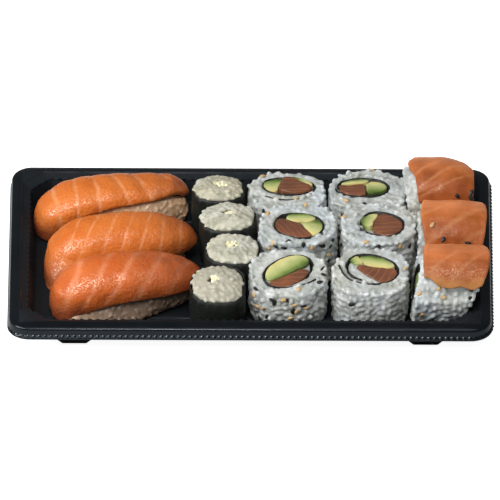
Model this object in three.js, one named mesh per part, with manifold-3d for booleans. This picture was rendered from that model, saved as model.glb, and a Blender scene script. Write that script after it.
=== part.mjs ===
// Takeaway sushi tray: a black thermoformed tray on four feet, filled with three salmon nigiri,
// four thin nori rolls, six inside-out rolls and three inside-out rolls topped with salmon.
// Millimetres, +Z up. The origin is the centre of the tray's footprint on the table, +X runs along
// the tray's long side and +Y towards its back.
import * as THREE from "three";
import { mergeVertices } from "three/addons/utils/BufferGeometryUtils.js";
import Module from "manifold-3d";

const wasm = await Module();
wasm.setup();

// ---------- Driving dimensions ----------
const TRAY = {
  length: 255, // over the rim, along X
  width: 148, // over the rim, along Y
  height: 20, // table to the inner edge of the rim
  footHeight: 4,
  rimBand: 7, // outer edge of the flange to the opening
  flangeFoot: 12.4, // height of the flange's lower edge
  floorInset: 14.4, // outer edge of the flange to the foot of the inner wall
  wall: 0.9,
  corner: 12, // radius of the rim's corners
  cutCorner: 10.5, // the opening's corners are cut off straight
};
const FLOOR = TRAY.footHeight + TRAY.wall;
const RIB_HEIGHT = 0.5; // low ribs on the floor carry the food
const GAP = 0.3; // clearance between pieces that touch
const FOOD_FLOOR = FLOOR + RIB_HEIGHT + GAP;
const NORI = 0.7; // thickness of a seaweed sheet with the rice pressed into it
const GRAIN_BUMP = 0.45; // how far a rice grain stands out of the packed rice
const SEED = { length: 3.2, width: 1.9, thickness: 1.2 };

const COLOURS = {
  tray: 0x17191d,
  rice: 0xcfcfc6,
  nori: 0x14171a,
  salmon: 0xd9713a,
  filling: 0x9c4a33,
  avocado: 0xb3bd5c,
  cheese: 0xeee6c0,
};

// ---------- Small helpers ----------
const turn = (degrees) => (degrees * Math.PI) / 180;
const mix = (a, b, t) => a + (b - a) * t;
const ease = (t) => {
  const s = Math.min(1, Math.max(0, t));
  return s * s * (3 - 2 * s);
};
const fraction = (v) => v - Math.floor(v);

// Seeded random numbers from 0 to 1, the same on every run.
function randomFrom(seed) {
  let state = seed;
  return () => {
    state = (Math.imul(state, 1664525) + 1013904223) >>> 0;
    return state / 4294967296;
  };
}

// A copy of a three.js geometry with shared corners merged, each moved by place(x, y, z) => [x, y, z].
function shaped(geometry, place) {
  geometry.deleteAttribute("normal");
  geometry.deleteAttribute("uv");
  const merged = mergeVertices(geometry, 1e-4);
  const corners = merged.getAttribute("position");
  for (let i = 0; i < corners.count; i++) {
    corners.setXYZ(i, ...place(corners.getX(i), corners.getY(i), corners.getZ(i)));
  }
  return merged;
}

// A closed skin over rings of [x, y, z] points, anticlockwise seen from the last ring's side. The ends are
// closed by a fan, or, where a ring is a thin arch, by strips from its outer side to its inner side.
function loft(rings, archEnds = false) {
  const count = rings[0].length;
  const points = rings.flat();
  const index = [];
  rings.slice(1).forEach((ring, level) => {
    const low = level * count;
    const high = low + count;
    for (let i = 0; i < count; i++) {
      const j = (i + 1) % count;
      index.push(low + i, low + j, high + j, low + i, high + j, high + i);
    }
  });
  const last = (rings.length - 1) * count;
  if (archEnds) {
    for (let i = 0; i < count / 2 - 1; i++) {
      const [a, b, c, d] = [i, i + 1, count - 2 - i, count - 1 - i];
      index.push(a, d, c, a, c, b, last + a, last + b, last + c, last + a, last + c, last + d);
    }
  } else {
    const middle = (ring) => [0, 1, 2].map((axis) => ring.reduce((sum, p) => sum + p[axis], 0) / count);
    const bottom = points.push(middle(rings[0])) - 1;
    const top = points.push(middle(rings.at(-1))) - 1;
    for (let i = 0; i < count; i++) {
      const j = (i + 1) % count;
      index.push(bottom, j, i, top, last + i, last + j);
    }
  }
  const geometry = new THREE.BufferGeometry();
  geometry.setAttribute("position", new THREE.Float32BufferAttribute(points.flat(), 3));
  geometry.setIndex(index);
  return withoutCollapsed(mergeVertices(geometry, 1e-4));
}

// Drops the triangles that have shrunk to a line, as they do where a ring closes to a point.
function withoutCollapsed(geometry) {
  const corners = Array.from(geometry.index.array);
  const kept = [];
  for (let i = 0; i < corners.length; i += 3) {
    const triangle = corners.slice(i, i + 3);
    if (new Set(triangle).size === 3) kept.push(...triangle);
  }
  geometry.setIndex(kept);
  return geometry;
}

// A closed geometry with merged corners as a solid, for cutting and joining, and back again.
function solidOf(geometry) {
  return new wasm.Manifold(
    new wasm.Mesh({
      numProp: 3,
      vertProperties: geometry.getAttribute("position").array,
      triVerts: new Uint32Array(geometry.index.array),
    }),
  );
}

function geometryOf(solid) {
  const mesh = solid.getMesh();
  const geometry = new THREE.BufferGeometry();
  geometry.setAttribute("position", new THREE.BufferAttribute(mesh.vertProperties, 3));
  geometry.setIndex(new THREE.BufferAttribute(mesh.triVerts, 1));
  return geometry;
}

const joined = (body, additions) => additions.reduce((whole, part) => whole.add(part), body);

// A named mesh with a material of its own in the colour of its slot.
function piece(name, solid, slot) {
  const roughness = slot === "tray" ? 0.35 : 0.6;
  const finish = new THREE.MeshStandardMaterial({ color: COLOURS[slot], roughness, metalness: 0 });
  const mesh = new THREE.Mesh(geometryOf(solid), finish);
  mesh.name = name;
  return mesh;
}

// ---------- Tray ----------
// One outline of the tray, inset from its outer edge. roundness 1 rounds the corners, 0 cuts them straight.
function trayRing(inset, z, corner, roundness) {
  const steps = 4;
  const halfX = TRAY.length / 2 - inset;
  const halfY = TRAY.width / 2 - inset;
  const ring = [];
  [[1, 1], [-1, 1], [-1, -1], [1, -1]].forEach(([sideX, sideY], quarter) => {
    const onArc = (t) => {
      const angle = ((quarter + t) * Math.PI) / 2;
      return [
        sideX * (halfX - corner) + corner * Math.cos(angle),
        sideY * (halfY - corner) + corner * Math.sin(angle),
      ];
    };
    const from = onArc(0);
    const to = onArc(1);
    for (let i = 0; i <= steps; i++) {
      const arc = onArc(i / steps);
      const cut = from.map((v, axis) => mix(v, to[axis], i / steps));
      ring.push([mix(cut[0], arc[0], roundness), mix(cut[1], arc[1], roundness), z]);
    }
  });
  return ring;
}

function trayShell() {
  const { height, wall, rimBand, flangeFoot, floorInset, corner, cutCorner } = TRAY;
  const bandDrop = 1.3; // the rim's top slopes down outwards
  const ledgeInset = rimBand + 4; // a narrow ledge runs round the inside below the rim
  const ledgeZ = height - 2;
  const lipHeight = 2.8; // the flange's lower lip stands out a little
  return solidOf(
    loft([
      trayRing(floorInset - 0.2, TRAY.footHeight, cutCorner, 0.2),
      trayRing(floorInset - wall, TRAY.footHeight + 0.9, cutCorner, 0.2),
      trayRing(ledgeInset - wall, ledgeZ - 0.7, cutCorner, 0.1),
      trayRing(rimBand + 0.3, height - 1.5, cutCorner, 0.1),
      trayRing(rimBand - 0.2, height - wall, cutCorner, 0.1),
      trayRing(2.1, height - bandDrop - wall, corner - 2.1, 1),
      trayRing(wall, flangeFoot, corner - wall, 1),
      trayRing(0, flangeFoot, corner, 1),
      trayRing(0, flangeFoot + lipHeight, corner, 1),
      trayRing(0.7, flangeFoot + lipHeight + 0.4, corner - 0.7, 1),
      trayRing(1.3, height - bandDrop, corner - 1.3, 1),
      trayRing(rimBand, height, cutCorner, 0.1),
      trayRing(rimBand + 0.7, height - 0.7, cutCorner, 0.1),
      trayRing(ledgeInset, ledgeZ, cutCorner, 0.1),
      trayRing(floorInset - 0.5, FLOOR + 1.2, cutCorner, 0.2),
      trayRing(floorInset + 0.6, FLOOR, cutCorner, 0.2),
    ]),
  );
}

// A foot is a block whose ends slope, with its outer face in line with the tray's wall.
function trayFoot(sideX, sideY) {
  const centreX = 92;
  const depth = 15;
  const rootHalf = 11.3;
  const tipHalf = 6.3;
  const slope = 4; // the inner face leans out by this much from tip to root
  const outerY = TRAY.width / 2 - (TRAY.floorInset - TRAY.wall + 0.5);
  const ring = (half, back, z) => {
    const x = sideX * centreX;
    const [near, far] = sideY > 0 ? [outerY - depth - back, outerY] : [-outerY, back + depth - outerY];
    return [[x - half, near, z], [x + half, near, z], [x + half, far, z], [x - half, far, z]];
  };
  return solidOf(loft([ring(tipHalf, 0, 0), ring(rootHalf, slope, TRAY.footHeight + 0.4)]));
}

// A long rib on the floor: the food stands on these and juice runs between them.
function floorRib(y) {
  const halfLength = TRAY.length / 2 - TRAY.floorInset - 6;
  const ring = (half, z) => [
    [-halfLength, y - half, z],
    [halfLength, y - half, z],
    [halfLength, y + half, z],
    [-halfLength, y + half, z],
  ];
  return solidOf(loft([ring(1.8, FLOOR - 0.3), ring(0.8, FLOOR + RIB_HEIGHT)]));
}

function makeTray() {
  const corners = [[1, 1], [-1, 1], [-1, -1], [1, -1]];
  const additions = [...corners.map(([x, y]) => trayFoot(x, y)), ...[-43, -14.5, 14.5, 43].map(floorRib)];
  return piece("tray", joined(trayShell(), additions), "tray");
}

// ---------- Rolls that stand on a cut face ----------
// Distance from the middle to a flattened oval's edge in a direction.
function ovalReach(angle, halfX, halfY, squareness) {
  const c = Math.abs(Math.cos(angle)) / halfX;
  const s = Math.abs(Math.sin(angle)) / halfY;
  return (c ** squareness + s ** squareness) ** (-1 / squareness);
}

// Height of a roll's slanted cut face above its foot.
const cutHeight = (roll, y) => roll.height + Math.tan(turn(roll.slant)) * y;

// A standing block with the oval outline of the roll, shrunk by inset. Its side has rice-sized bumps.
function standingBody(roll, inset, bump, seed, levels, sides = 24) {
  const random = randomFrom(seed);
  const geometry = new THREE.CylinderGeometry(1, 1, 1, sides, levels);
  geometry.rotateX(Math.PI / 2);
  return shaped(geometry, (x, y, z) => {
    const angle = Math.atan2(y, x);
    const rise = z + 0.5;
    const onSide = Math.hypot(x, y) > 0.5;
    const barrel = 0.955 + 0.045 * Math.sin(Math.PI * Math.min(1, rise * 0.75 + 0.12));
    const lump = bump * (2 * random() - 1);
    const oval = ovalReach(angle, roll.halfX, roll.halfY, roll.squareness);
    const reach = onSide ? oval * barrel - inset - bump + lump : 0;
    const px = reach * Math.cos(angle);
    const py = reach * Math.sin(angle);
    return [px, py, rise * cutHeight(roll, py)];
  });
}

// A prism over a flat outline, from the roll's foot to its slanted cut face and past them by below and above.
function prismUnderCut(roll, outline, below, above) {
  const shape = new THREE.Shape(outline.map(([x, y]) => new THREE.Vector2(x, y)));
  const geometry = new THREE.ExtrudeGeometry(shape, { depth: 1, bevelEnabled: false });
  const upright = (x, y, z) => [x, y, z < 0.5 ? -below : cutHeight(roll, y) + above];
  return solidOf(shaped(geometry, upright));
}

// The seaweed's line in a cut face: once round the filling, then on round a layer of rolled-in rice.
function seaweedLine(roll) {
  const { nori } = roll;
  const sweep = 360 + nori.overlap;
  const steps = Math.round(sweep / 17);
  const [growFrom, growTo] = nori.grow ?? [250, 380];
  return Array.from({ length: steps + 1 }, (_, i) => {
    const turned = (sweep * i) / steps;
    const angle = turn(nori.start + nori.way * turned);
    const growth = nori.riceLayer * ease((turned - growFrom) / (growTo - growFrom));
    const reach = ovalReach(angle - turn(nori.tilt), nori.halfX, nori.halfY, 2.3) + growth;
    return { x: nori.x + reach * Math.cos(angle), y: nori.y + reach * Math.sin(angle) };
  });
}

// A line thickened to a band, as one closed outline. Its ends reach past the line by extra.
function bandOutline(line, thickness, extra) {
  const sides = [[], []];
  line.forEach((point, i) => {
    const before = line[Math.max(0, i - 1)];
    const after = line[Math.min(line.length - 1, i + 1)];
    const along = new THREE.Vector2(after.x - before.x, after.y - before.y).normalize();
    const reach = (i === 0 ? -extra : 0) + (i === line.length - 1 ? extra : 0);
    [1, -1].forEach((side, k) => {
      sides[k].push([
        point.x + along.x * reach - (side * along.y * thickness) / 2,
        point.y + along.y * reach + (side * along.x * thickness) / 2,
      ]);
    });
  });
  return [...sides[0], ...sides[1].reverse()];
}

// The oval that the seaweed's first turn wraps, moved inwards from the seaweed's middle line.
function fillingOutline(roll, inset) {
  const { nori } = roll;
  const sides = 22;
  return Array.from({ length: sides }, (_, i) => {
    const angle = (2 * Math.PI * i) / sides;
    const reach = ovalReach(angle - turn(nori.tilt), nori.halfX, nori.halfY, 2.3) - inset;
    return [nori.x + reach * Math.cos(angle), nori.y + reach * Math.sin(angle)];
  });
}

// Where the sesame seeds sit on a roll's side, spread by a fixed rule.
function seedPlaces(roll) {
  const { count, from, to } = roll.seeds;
  return Array.from({ length: count }, (_, k) => ({
    angle: turn(mix(from, to, fraction(0.35 + k * 0.618))),
    rise: mix(0.2, 0.88, fraction(0.2 + k * 0.7549)),
    spin: k * 2.4,
  }));
}

function sesameSeed() {
  const geometry = new THREE.IcosahedronGeometry(0.5, 0);
  geometry.scale(SEED.length, SEED.width, SEED.thickness);
  return geometry;
}

// Seeds pressed into the rice's side, lying flat on it.
function seedsOnRoll(roll) {
  return seedPlaces(roll).map(({ angle, rise, spin }) => {
    const reach = ovalReach(angle, roll.halfX, roll.halfY, roll.squareness) * 0.985 - GRAIN_BUMP;
    const geometry = sesameSeed();
    geometry.rotateZ(spin);
    geometry.rotateY(Math.PI / 2);
    geometry.rotateZ(angle);
    const [px, py] = [reach * Math.cos(angle), reach * Math.sin(angle)];
    geometry.translate(px, py, rise * cutHeight(roll, py));
    return solidOf(shaped(geometry, (...corner) => corner));
  });
}

// A block on one side of the upright plane where the avocado meets the salmon, half a gap over it.
function beyondSplit(roll, side) {
  const size = 4 * roll.halfX;
  const geometry = new THREE.BoxGeometry(size, size, size);
  geometry.translate(roll.split.offset + (side * (size - GAP)) / 2, 0, 0);
  geometry.rotateZ(turn(roll.split.angle));
  geometry.translate(roll.nori.x, roll.nori.y, 0);
  return solidOf(shaped(geometry, (...corner) => corner));
}

// An inside-out roll: rice outside, a seaweed spiral inside it, and avocado and salmon in the middle.
function insideOutRoll(roll, seed) {
  const body = solidOf(standingBody(roll, 0, GRAIN_BUMP, seed, 4));
  const line = seaweedLine(roll);
  const nori = prismUnderCut(roll, bandOutline(line, NORI, 0), -GAP, 0.2);
  const slot = prismUnderCut(roll, bandOutline(line, NORI + 2 * GAP, GAP), 2, 4);
  const hollow = prismUnderCut(roll, fillingOutline(roll, 0), 2, 4);
  const rice = joined(body.subtract(slot).subtract(hollow), seedsOnRoll(roll));
  const filling = prismUnderCut(roll, fillingOutline(roll, NORI / 2 + 2 * GAP), -GAP, 0.4);
  const group = new THREE.Group();
  group.position.set(roll.x, roll.y, FOOD_FLOOR);
  group.add(
    piece(`${roll.name}_rice`, rice, "rice"),
    piece(`${roll.name}_nori`, nori, "nori"),
    piece(`${roll.name}_avocado`, filling.subtract(beyondSplit(roll, -1)), "avocado"),
    piece(`${roll.name}_salmon`, filling.subtract(beyondSplit(roll, 1)), "filling"),
  );
  return group;
}

const THIN_SIDES = 18;
const CHEESE_SIDES = 14;

// A thin roll: seaweed outside, rice, and a core of soft white cheese.
function thinRoll(roll, seed) {
  const outer = solidOf(standingBody(roll, 0, 0, seed, 2, THIN_SIDES));
  const bore = solidOf(standingBody({ ...roll, height: roll.height + 3 }, NORI, 0, seed, 2, THIN_SIDES));
  const riceShape = { ...roll, height: roll.height + 0.5 };
  const rice = solidOf(standingBody(riceShape, NORI + GAP, GRAIN_BUMP / 2, seed, 2, THIN_SIDES));
  const core = (height) => ({ ...roll, ...roll.core, height, squareness: 1.6 });
  const cheese = solidOf(standingBody(core(roll.height + 0.7), 0, 0.5, seed, 1, CHEESE_SIDES));
  const well = solidOf(standingBody(core(roll.height + 4), -GAP - 0.5, 0, seed, 1, CHEESE_SIDES));
  const centred = (solid) => solid.translate([roll.core.x, roll.core.y, 0]);
  const group = new THREE.Group();
  group.position.set(roll.x, roll.y, FOOD_FLOOR);
  group.rotation.z = turn(roll.spin);
  group.add(
    piece(`${roll.name}_nori`, outer.subtract(bore.translate([0, 0, -1])), "nori"),
    piece(`${roll.name}_rice`, rice.subtract(centred(well).translate([0, 0, -1])), "rice"),
    piece(`${roll.name}_cheese`, centred(cheese), "cheese"),
  );
  return group;
}

// ---------- Salmon-topped rolls, lying on their side with the cut faces left and right ----------
const LYING_SIDES = 24;
const CORE_SIDES = 16;
const SLICE_STATIONS = 6;

// Where the two cut faces stand along X. rise goes from 0 at the roll's foot to 1 at its top.
const leftCut = (roll, rise) => mix(roll.left[0], roll.left[1], rise ** 2);
const rightCut = (roll, rise) =>
  mix(roll.right[0], roll.right[1], rise) - roll.shoulder * Math.max(0, (rise - 0.72) / 0.28) ** 2;

// How much the roll's upper half keeps of its height along its length: both ends are rounded over.
const crown = (roll, place) =>
  1 - roll.sag[0] * Math.max(0, 1 - place / 0.3) ** 2 - roll.sag[1] * Math.max(0, (place - 0.6) / 0.4) ** 2;

// A point on a lying roll. angle is measured from the top towards the back, share is the part of its radius,
// and inset moves the body's two ends along X.
function lyingPoint(roll, along, angle, share, inset) {
  const up = Math.cos(angle);
  const place = along + mix(inset[0], inset[1], along) / (roll.right[1] - roll.left[1]);
  const py = roll.radiusY * share * Math.sin(angle);
  const pz = Math.max(-roll.radiusZ, roll.radiusZ * share * up * 1.02 * (up > 0 ? crown(roll, place) : 1));
  const rise = (pz + roll.radiusZ) / (2 * roll.radiusZ);
  const rounded = Math.min(8, roll.backRound * Math.max(0, Math.sin(angle) + 0.1) ** 2);
  const px = mix(leftCut(roll, rise) + inset[0], rightCut(roll, rise) - rounded + inset[1], along);
  return [px, roll.y + py, FOOD_FLOOR + roll.radiusZ + pz];
}

// A block between the roll's two leaning cut faces. reachAt(angle) is the share of the radius that it takes.
function lyingBody(roll, reachAt, bump, seed, stations, inset, sides) {
  const random = randomFrom(seed);
  const geometry = new THREE.CylinderGeometry(1, 1, 1, sides, stations);
  geometry.rotateZ(Math.PI / 2);
  return shaped(geometry, (x, y, z) => {
    const angle = Math.atan2(y, z);
    const share = Math.hypot(y, z) > 0.5 ? reachAt(angle) + bump * (2 * random() - 1) : 0;
    return lyingPoint(roll, x + 0.5, angle, share, inset);
  });
}

function toppedRoll(roll, seed) {
  const salmonShare = roll.slice / roll.radiusZ;
  const under = 1 - salmonShare - GAP / roll.radiusZ;
  const bare = 0.965;
  const facet = 360 / LYING_SIDES;
  const margin = facet + roll.frontSkew / 2 + roll.frontBulge;
  const covered = (angle) => angle > turn(-roll.frontEdge - margin) && angle < turn(roll.backEdge + facet);
  const grain = GRAIN_BUMP / roll.radiusZ;
  const bareReach = (angle) => (covered(angle) ? under - grain : bare - grain);
  const body = solidOf(lyingBody(roll, bareReach, grain, seed, SLICE_STATIONS, [0, 0], LYING_SIDES));
  const straight = { ...roll, sag: [0, 0] };
  const tube = (share, inset) => solidOf(lyingBody(straight, () => share, 0, seed, 1, inset, CORE_SIDES));
  const noriShare = 0.5;
  const step = NORI / roll.radiusZ;
  const clear = GAP / roll.radiusZ;
  const long = [-3, 3];
  const rice = body.subtract(tube(noriShare + clear, long));
  const nori = tube(noriShare, [0.2, -0.2]).subtract(tube(noriShare - step, long));
  const avocado = tube(noriShare - step - clear, [0.4, -0.4]);
  const group = new THREE.Group();
  group.add(
    piece(`${roll.name}_rice`, joined(rice, seedsOnRice(roll)), "rice"),
    piece(`${roll.name}_nori`, nori, "nori"),
    piece(`${roll.name}_avocado`, avocado, "avocado"),
    piece(`${roll.name}_salmon`, joined(salmonSlice(roll, under + clear), seedsOnSlice(roll)), "salmon"),
  );
  return group;
}

// The slice over a lying roll: an arch from its front edge to its back edge.
function salmonSlice(roll, innerShare) {
  const across = 9;
  const rings = Array.from({ length: SLICE_STATIONS + 1 }, (_, i) => {
    const along = i / SLICE_STATIONS;
    const bulge = 1 - (2 * along - 1) ** 2;
    const front = roll.frontEdge + roll.frontSkew * (along - 0.5) + roll.frontBulge * bulge;
    const arch = (share, backwards) =>
      Array.from({ length: across + 1 }, (_, k) => {
        const t = backwards ? 1 - k / across : k / across;
        const angle = turn(mix(roll.backEdge, -front, t));
        const thinner = backwards ? 0 : -0.04 * (Math.abs(2 * t - 1) ** 6);
        const inset = mix(roll.sliceInset[0], roll.sliceInset[1], Math.max(0, Math.cos(angle)) ** 3);
        return lyingPoint(roll, along, angle, share + thinner, [inset, 0.4]);
      });
    const wave = 1 + 0.006 * Math.cos(along * Math.PI * 4);
    return [...arch(wave, false), ...arch(innerShare, true)];
  });
  return solidOf(loft(rings, true));
}

// A sesame seed lying flat on a lying roll. angle is measured from the top towards the front.
function seedOnTopped(roll, along, angle, share, spin) {
  const geometry = sesameSeed();
  geometry.rotateZ(spin);
  geometry.rotateX(turn(angle));
  geometry.translate(...lyingPoint(roll, along, turn(-angle), share, [0, 0]));
  return solidOf(shaped(geometry, (...corner) => corner));
}

// Seeds in the rice that shows in front of the slice.
const seedsOnRice = (roll) =>
  Array.from({ length: roll.seeds }, (_, k) => {
    const along = mix(0.2, 0.85, fraction(0.4 + k * 0.618));
    const angle = roll.frontEdge + mix(34, 58, fraction(0.3 + k * 0.7549));
    return seedOnTopped(roll, along, angle, 0.93, k * 2.4);
  });

const seedsOnSlice = (roll) =>
  roll.sliceSeeds.map(({ along, angle }, k) => seedOnTopped(roll, along, angle, 0.975, k * 2.4));

// ---------- Nigiri ----------
// A point on a rice block's skin. along runs from -1, its left end, to 1; round is the angle from the top.
function blockPoint(block, along, round, out) {
  const end = Math.sqrt(Math.max(0, 1 - Math.abs(along) ** (along < 0 ? block.bluntLeft : block.bluntRight)));
  const lower = along < 0 ? block.drop * along ** 4 : block.fall * along;
  const up = Math.cos(round);
  const side = Math.sin(round);
  const middle = block.height * 0.42 - lower * 0.5;
  const reachUp = (block.height - middle - lower) * end + out;
  const reachDown = middle * Math.min(1, end * 1.6);
  const flare = 1 + 0.12 * Math.max(0, -up);
  const wide = (block.halfWidth * end + out) * flare;
  const z = middle + (up > 0 ? reachUp * up ** 0.85 : reachDown * Math.max(-1, up * 1.5));
  return [
    along * block.halfLength + out * Math.sign(along) * Math.abs(along) ** 6,
    wide * Math.sign(side) * Math.abs(side) ** (up > 0 ? 0.8 : 0.6),
    Math.max(0, z),
  ];
}

function riceBlock(block, seed) {
  const random = randomFrom(seed);
  const geometry = new THREE.SphereGeometry(1, 16, 11);
  geometry.rotateZ(Math.PI / 2);
  return solidOf(
    shaped(geometry, (x, y, z) => {
      const along = Math.sign(x) * (1 - (1 - Math.abs(x)) ** 0.8);
      const lump = GRAIN_BUMP * (2 * random() - 1);
      return blockPoint(block, Math.max(-1, Math.min(1, along)), Math.atan2(y, z), lump - GRAIN_BUMP);
    }),
  );
}

// The salmon over a rice block. It wraps the left end down to the tray and stops part way down the sides.
function nigiriSalmon(block) {
  const stations = 16;
  const across = 7;
  const grown = (by) => ({
    ...block,
    halfLength: block.halfLength + by,
    halfWidth: block.halfWidth + by,
    height: block.height + by,
  });
  const outer = grown(block.slice);
  const inner = grown(2 * GAP);
  const rings = Array.from({ length: stations }, (_, i) => {
    const along = -Math.cos((Math.PI * i) / (stations - 1));
    const place = (along + 1) / 2;
    const wrap = block.endWrap * (1 - place) ** 7;
    const front = mix(block.frontEdge[0], block.frontEdge[1], place ** block.edgeCurve) + wrap;
    const back = block.backEdge + wrap;
    const wave = 0.35 * Math.cos(along * Math.PI * 4) * (1 - along ** 6);
    const arch = (shape, out, thin, backwards) =>
      Array.from({ length: across + 1 }, (_, k) => {
        const t = backwards ? 1 - k / across : k / across;
        const edge = Math.abs(2 * t - 1) ** 5;
        return blockPoint(shape, along, turn(mix(back, -front, t)), out - thin * edge * (1 - along ** 6));
      });
    return [...arch(outer, wave, block.slice * 0.45, false), ...arch(inner, 0, 0, true)];
  });
  return solidOf(loft(rings, true));
}

function nigiri(block, seed) {
  const group = new THREE.Group();
  group.position.set(block.x, block.y, FOOD_FLOOR);
  group.rotation.z = turn(block.spin);
  group.add(
    piece(`${block.name}_rice`, riceBlock(block, seed), "rice"),
    piece(`${block.name}_salmon`, nigiriSalmon(block), "salmon"),
  );
  return group;
}

// ---------- What is in the tray ----------
// Nigiri. x, y is the middle of the rice block and spin its turn. frontEdge says how far down the front the
// salmon reaches at the left and right end, in degrees from the top.
const NIGIRI = [
  { name: "nigiri_back", x: -72.7, y: 39.8, spin: 10.5, height: 23.5, frontEdge: [98, 38], edgeCurve: 0.55 },
  { name: "nigiri_middle", x: -68.4, y: 4.2, spin: 11, height: 24.6, frontEdge: [105, 92], edgeCurve: 1 },
  { name: "nigiri_front", x: -64.4, y: -31.8, spin: 11.5, height: 25, frontEdge: [97, 84], edgeCurve: 1 },
].map((block) => ({
  halfLength: 37, halfWidth: 12.6, bluntLeft: 4.2, bluntRight: 3,
  slice: 4.2, backEdge: 95, endWrap: 55, drop: 8, fall: 4, ...block,
}));

// Inside-out rolls. slant tips the cut face towards the front. nori is the oval round the filling and the way
// the seaweed winds on from it; split is where the avocado meets the salmon.
const INSIDE_OUT = [
  {
    name: "roll_back_left", x: 19.2, y: 38.2, halfX: 20.7, height: 22.4, slant: -3,
    nori: {
      x: 0.3, y: 4.6, halfX: 13.6, halfY: 7.2, tilt: -4,
      start: 335, way: -1, overlap: 115, riceLayer: 6, grow: [300, 420],
    },
    split: { angle: 170, offset: 3 }, seeds: { count: 3, from: 200, to: 250 },
  },
  {
    name: "roll_back_right", x: 62, y: 38.2, halfX: 20.9, height: 23.4, slant: 0,
    nori: {
      x: -2.4, y: 2.6, halfX: 13.4, halfY: 7.6, tilt: -3,
      start: 190, way: -1, overlap: 150, riceLayer: 2.6,
    },
    split: { angle: 80, offset: 0.5 }, seeds: { count: 2, from: 80, to: 120 },
  },
  {
    name: "roll_middle_left", x: 25, y: 0.3, halfX: 20.7, height: 29.2, slant: 0,
    nori: {
      x: 0, y: 0, halfX: 13.4, halfY: 10, tilt: -10,
      start: 330, way: 1, overlap: 40, riceLayer: 3,
    },
    split: { angle: 25, offset: 2 }, seeds: { count: 6, from: 225, to: 315 },
  },
  {
    name: "roll_middle_right", x: 67.4, y: 0.3, halfX: 20.2, height: 29.4, slant: 0,
    nori: {
      x: 1.4, y: 1.2, halfX: 12, halfY: 8.4, tilt: -25,
      start: 150, way: -1, overlap: 140, riceLayer: 3.8,
    },
    split: { angle: 190, offset: 3 }, seeds: { count: 4, from: 225, to: 300 },
  },
  {
    name: "roll_front_left", x: 19.8, y: -37.6, halfX: 20.4, height: 24.6, slant: 7,
    nori: {
      x: 0.5, y: 0.5, halfX: 13.8, halfY: 9, tilt: 28,
      start: 320, way: 1, overlap: 15, riceLayer: 5,
    },
    split: { angle: 125, offset: -0.5 }, seeds: { count: 9, from: 195, to: 330 },
  },
  {
    name: "roll_front_right", x: 63.1, y: -37.6, halfX: 20.5, height: 25.6, slant: 7,
    nori: {
      x: 1, y: 3.2, halfX: 13.8, halfY: 8.2, tilt: -20,
      start: 235, way: -1, overlap: 60, riceLayer: 4.6,
    },
    split: { angle: 78, offset: 0.5 }, seeds: { count: 4, from: 200, to: 335 },
  },
].map((roll) => ({ halfY: 18.5, squareness: 2.2, ...roll }));

// Thin rolls, from the back of their row to its front.
const THIN = [
  { name: "thin_back", x: -17, y: 40.8, halfX: 14.3, halfY: 13.4, height: 22, slant: -5, spin: -3 },
  { name: "thin_middle_back", x: -11.8, y: 12.4, halfX: 15.4, halfY: 13.8, height: 24, slant: -2, spin: 6 },
  { name: "thin_middle_front", x: -9.2, y: -16.2, halfX: 15.2, halfY: 14, height: 24, slant: 0, spin: -4 },
  { name: "thin_front", x: -17.4, y: -45.4, halfX: 14.6, halfY: 14, height: 22.4, slant: 9, spin: 0 },
].map((roll, i) => ({
  squareness: 2.4,
  core: { x: 1 - i, y: 1, halfX: 4.5 - i * 0.6, halfY: 2.6 },
  ...roll,
}));

// Rolls topped with salmon. left and right are the cut faces' places at the roll's foot and top, sag is how
// far each end of the top droops, and sliceInset moves the slice's left edge in at its edges and on the top.
const TOPPED = [
  {
    name: "topped_back", y: 40, left: [85.6, 77.8], right: [108.5, 119.5],
    shoulder: 2, backRound: 14, sag: [0.1, 0.2],
    sliceInset: [4.5, 4], frontEdge: 58, frontSkew: 0, frontBulge: 0, seeds: 2, sliceSeeds: [],
  },
  {
    name: "topped_middle", y: 0.9, left: [87.8, 88.5], right: [108, 126],
    shoulder: 1.5, backRound: 2, sag: [0.02, 0.1],
    sliceInset: [4, 1], frontEdge: 62, frontSkew: 8, frontBulge: 0, seeds: 0,
    sliceSeeds: [{ along: 0.18, angle: 25 }, { along: 0.4, angle: 55 }, { along: 0.8, angle: 57 }],
  },
  {
    name: "topped_front", y: -38.2, left: [84.6, 91], right: [107.5, 126],
    shoulder: 0, backRound: 3, sag: [0.05, 0.05],
    sliceInset: [3, 0.6], frontEdge: 56, frontSkew: 8, frontBulge: 9, seeds: 5, sliceSeeds: [],
  },
].map((roll) => ({ radiusY: 19.4, radiusZ: 19.2, backEdge: 66, slice: 3.6, ...roll }));

const sushiTray = new THREE.Group();
sushiTray.add(
  makeTray(),
  ...NIGIRI.map((block, i) => nigiri(block, 11 + i)),
  ...THIN.map((roll, i) => thinRoll(roll, 21 + i)),
  ...INSIDE_OUT.map((roll, i) => insideOutRoll(roll, 31 + i)),
  ...TOPPED.map((roll, i) => toppedRoll(roll, 41 + i)),
);

export default sushiTray;
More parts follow.
